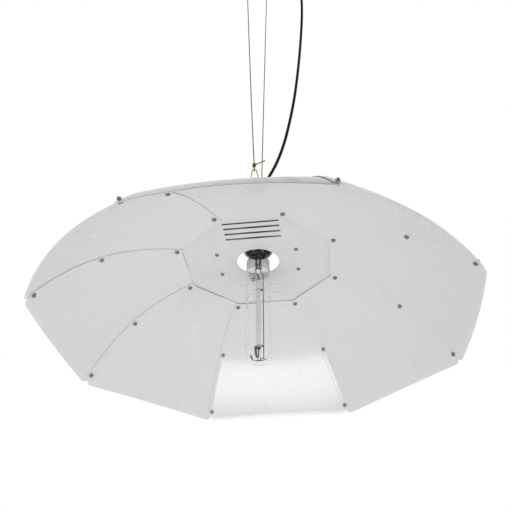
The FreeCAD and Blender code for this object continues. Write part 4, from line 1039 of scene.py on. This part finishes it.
# Braided polypropylene: deep green, slightly waxy, with a fine diagonal plait about
# 2.4 mm long, drawn as bands because single filaments are too fine to show.
green_cord, tree, shader = principled("braided polypropylene cord")
place = node(tree, "ShaderNodeTexCoord")
plait = node(tree, "ShaderNodeTexWave", {"Vector": place.outputs["Object"]}, wave_type="BANDS",
             bands_direction="DIAGONAL", Scale=260.0, Distortion=1.5)
tone = node(tree, "ShaderNodeMix", {"Factor": plait.outputs["Fac"]}, data_type="RGBA")
tone.inputs["A"].default_value = linear("#215F08")
tone.inputs["B"].default_value = linear("#66AE14")
tree.links.new(tone.outputs["Result"], shader.inputs["Base Color"])
bump = node(tree, "ShaderNodeBump", {"Height": plait.outputs["Fac"]}, Strength=0.4, Distance=0.0003)
tree.links.new(bump.outputs["Normal"], shader.inputs["Normal"])
shader.inputs["Roughness"].default_value = 0.45
shader.inputs["Sheen Weight"].default_value = 0.03

# Each cord ends in a small tied loop: two legs round the steel, whipped by four turns of
# its own free end. The front lower knot keeps a longer free stub.
KNOT_REACH = 0.009
KNOT_TURNS = 4
LOOP_AIR = 0.0003


def tied_knot(name, centre, along, wire_r, side, stub):
    centre, along, rise = Vector(centre), Vector(along).normalized(), Vector((0, 0, side))
    across = along.cross(Vector((0, 0, 1))).normalized()
    r = wire_r + LOOP_AIR + CORD_D / 2
    points = [centre + rise * (KNOT_REACH + 0.008) + across * 0.0007]
    points += [centre + rise * KNOT_REACH + across * 0.0013, centre + rise * r * 1.2 + across * r]
    for k in range(7):
        a = math.radians(-15 + 35 * k)
        points.append(centre + across * r * math.cos(a) - rise * r * math.sin(a))
    points += [centre + rise * r * 1.2 - across * r, centre + rise * KNOT_REACH - across * 0.0013]
    wrap = CORD_D * 1.25
    for k in range(10 * KNOT_TURNS):
        a = math.pi + 2 * math.pi * k / 10
        climb = KNOT_REACH + 0.0015 + 0.0066 * k / (10 * KNOT_TURNS)
        points.append(centre + rise * climb + (across * math.cos(a) + along * math.sin(a)) * wrap)
    last = points[-1]
    points += [last + Vector(stub) * share for share in (0.35, 0.7, 1.0)]
    knot = cord_curve(name, points, CORD_D, 5)
    finish(knot, green_cord)
    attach(knot, "reflector")
    return knot


BAIL_APEX = {"front": (0, -0.064, RIM_Z + 0.349), "rear": (0, 0.064, RIM_Z + 0.349)}
HOOK_BOTTOM = {"front": (-0.024, -0.064, -0.038), "rear": (0.024, 0.064, -0.038)}
STUBS = {"front": (0.022, -0.002, 0.009), "rear": (0.006, 0.003, 0.004)}
for side, route in HANG_ROUTES.items():
    low = tied_knot("lower_cord_knot_" + side, BAIL_APEX[side], (1, 0, 0), 0.001, 1, STUBS[side])
    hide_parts("lower_knot_" + side)
    high = tied_knot("upper_cord_knot_" + side, HOOK_BOTTOM[side], (0.024, 0.064, 0), 0.00225, -1,
                     (0.004, -0.002, -0.004))
    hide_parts("upper_knot_" + side)
    cord = cord_curve("green_hanging_cord_" + side, route, CORD_D)
    finish(cord, green_cord)
    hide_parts("hang_cord_" + side)
    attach(cord, "reflector")

# ------------------------------------------------------------------ mains lead
# Round black rubber-sheathed lead, 7 mm, from the gland on the wiring cover. It bows out to
# the right, and its spare length is wound into a neat coil tied to the front cord.
LEAD_ROUTE = [
    (0, 0, 0.302), (0, 0, 0.338), (20, 0, 0.374), (44, 0, 0.425), (64, 0, 0.492), (79, 0, 0.566),
    (92, 0, 0.641), (102, 0, 0.720), (111, 0, 0.802), (118.5, 0, 0.884), (125, -1, 0.966),
    (129, -3, 1.046), (127, -10, 1.116), (106, -27, 1.172), (66, -45, 1.200)]
TAIL_ROUTE = [(-28, -35.5, 1.148), (-29, -36, 1.124), (-28, -38, 1.100)]
COIL_CENTRE = (0.019, -0.046, RIM_Z + 1.150)
COIL_LAYERS = (0.033, 0.040, 0.047)
# (layer, row) of each turn, wound so that neighbours lie side by side
COIL_TURNS = [(2, 0), (2, 1), (1, 1), (1, 0), (0, 0), (0, 1),
              (0, 2), (0, 3), (1, 3), (1, 2), (2, 2), (2, 3)]
STEPS = 16


def measured(route):
    """Route points have x and y in millimetres and height above the rim screws in metres."""
    return [(x / 1000, y / 1000, RIM_Z + h) for x, y, h in route]


def coil_points():
    points = []
    swell = 1 / math.cos(math.pi / STEPS)
    places = [(COIL_LAYERS[layer], (row - 1.5) * 2 * LEAD_R) for layer, row in COIL_TURNS]
    total = len(places) * STEPS + STEPS // 4
    for k in range(total + 1):
        turn = min(k // STEPS, len(places) - 1)
        share = (k % STEPS) / STEPS if k // STEPS < len(places) else 1.0
        ease = max(0.0, (share - 0.7) / 0.3)
        follow = places[min(turn + 1, len(places) - 1)]
        r = places[turn][0] + (follow[0] - places[turn][0]) * ease
        y = places[turn][1] + (follow[1] - places[turn][1]) * ease
        a = math.pi / 2 + 2 * math.pi * k / STEPS
        points.append((COIL_CENTRE[0] + r * swell * math.cos(a), COIL_CENTRE[1] + y,
                       COIL_CENTRE[2] + r * swell * math.sin(a)))
    return points


# Natural rubber over PVC: soft black, slightly dusty, faint lengthwise drawing marks.
black_sheath = mottled_finish("black rubber cable sheath", "#040404", "#0E0E0F", 180.0, 4.0,
                              relief=(0.15, 0.0002), Roughness=0.42, Specular_IOR_Level=0.2)

# The coil is held to the front cord by a nylon strap, and the free end carries a moulded
# three-pin plug. Both are plain trade parts with nothing printed on them.
STRAP_W = 0.0046
STRAP_T = 0.0013
STRAP_SIDE = 0.0111              # half its length across the turns, and where it ends in depth
STRAP_FRONT = -0.0658
STRAP_BACK = -0.0314
STRAP_BEND = 0.005
PLUG_PLACE = (-0.028, -0.038)
PLUG_TOP = RIM_Z + 1.100
PLUG_LENGTH = 0.034


def closed_strap(name, points, width, thickness):
    """Flat strap laid edge-up along a closed loop of (x, y) points."""
    work = bmesh.new()
    rows = []
    count = len(points)
    for k, (x, y) in enumerate(points):
        before, after = points[k - 1], points[(k + 1) % count]
        out = Vector((after[1] - before[1], before[0] - after[0], 0)).normalized()
        rows.append([work.verts.new(Vector((x, y, COIL_CENTRE[2] + dz)) + out * d) for d, dz in
                     ((0, -width / 2), (thickness, -width / 2), (thickness, width / 2), (0, width / 2))])
    for k in range(count):
        low, high = rows[k], rows[(k + 1) % count]
        for j in range(4):
            work.faces.new((low[j], low[(j + 1) % 4], high[(j + 1) % 4], high[j]))
    return keep_mesh(name, work)


def rounded_loop(x0, x1, y0, y1, r, steps=8):
    points = []
    corners = ((x1 - r, y1 - r, 0), (x0 + r, y1 - r, 90), (x0 + r, y0 + r, 180), (x1 - r, y0 + r, 270))
    for cx, cy, first in corners:
        points += [(cx + r * math.cos(math.radians(first + 90 * k / steps)),
                    cy + r * math.sin(math.radians(first + 90 * k / steps))) for k in range(steps + 1)]
    return points


coil_left = COIL_CENTRE[0] - COIL_LAYERS[1]
strap_path = rounded_loop(coil_left - STRAP_SIDE, coil_left + STRAP_SIDE, STRAP_FRONT, STRAP_BACK, STRAP_BEND)
strap = closed_strap("nylon_coil_strap", strap_path, STRAP_W, STRAP_T)
finish(strap, nylon)
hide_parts("coil_tie")
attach(strap, "reflector")

# (share of the way down, half width in x, half depth in y): neck, shoulder, waist and face
PLUG_SECTIONS = [
    (0.0, 0.0046, 0.0046), (0.03, 0.0053, 0.0053), (0.20, 0.0060, 0.0058), (0.26, 0.0096, 0.0072),
    (0.31, 0.0107, 0.0079), (0.50, 0.0104, 0.0074), (0.58, 0.0102, 0.0072), (0.66, 0.0104, 0.0074),
    (0.74, 0.0110, 0.0080), (0.985, 0.0110, 0.0080), (1.0, 0.0106, 0.0076)]
PLUG_SIDES = 48
PLUG_NECK = 0.21                 # share of the length that is round; the grip below is squarish
PLUG_SQUARE = 0.45


def plug_outline(half_x, half_y, power):
    points = []
    for k in range(PLUG_SIDES):
        a = 2 * math.pi * k / PLUG_SIDES
        c, s = math.cos(a), math.sin(a)
        points.append((half_x * math.copysign(abs(c) ** power, c),
                       half_y * math.copysign(abs(s) ** power, s)))
    return points


work = bmesh.new()
rings = []
for share, half_x, half_y in PLUG_SECTIONS:
    power = 1.0 if share < PLUG_NECK else PLUG_SQUARE
    z = PLUG_TOP - PLUG_LENGTH * share
    rings.append([work.verts.new((PLUG_PLACE[0] + x, PLUG_PLACE[1] + y, z))
                  for x, y in plug_outline(half_x, half_y, power)])
for low, high in zip(rings, rings[1:]):
    for k in range(PLUG_SIDES):
        n = (k + 1) % PLUG_SIDES
        work.faces.new((low[k], low[n], high[n], high[k]))
work.faces.new(rings[0])
work.faces.new(rings[-1])
plug = keep_mesh("moulded_plug_body", work, 40)
finish(plug, nylon)
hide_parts("plug_body")
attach(plug, "reflector")
dress(brass, "plug_pins")

lead_points = measured(LEAD_ROUTE) + coil_points() + measured(TAIL_ROUTE)[1:]
lead = cord_curve("black_mains_lead", lead_points, 2 * LEAD_R, 7)
finish(lead, black_sheath)
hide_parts("mains_cable", "cable_coil", "cable_tail")
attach(lead, "reflector")
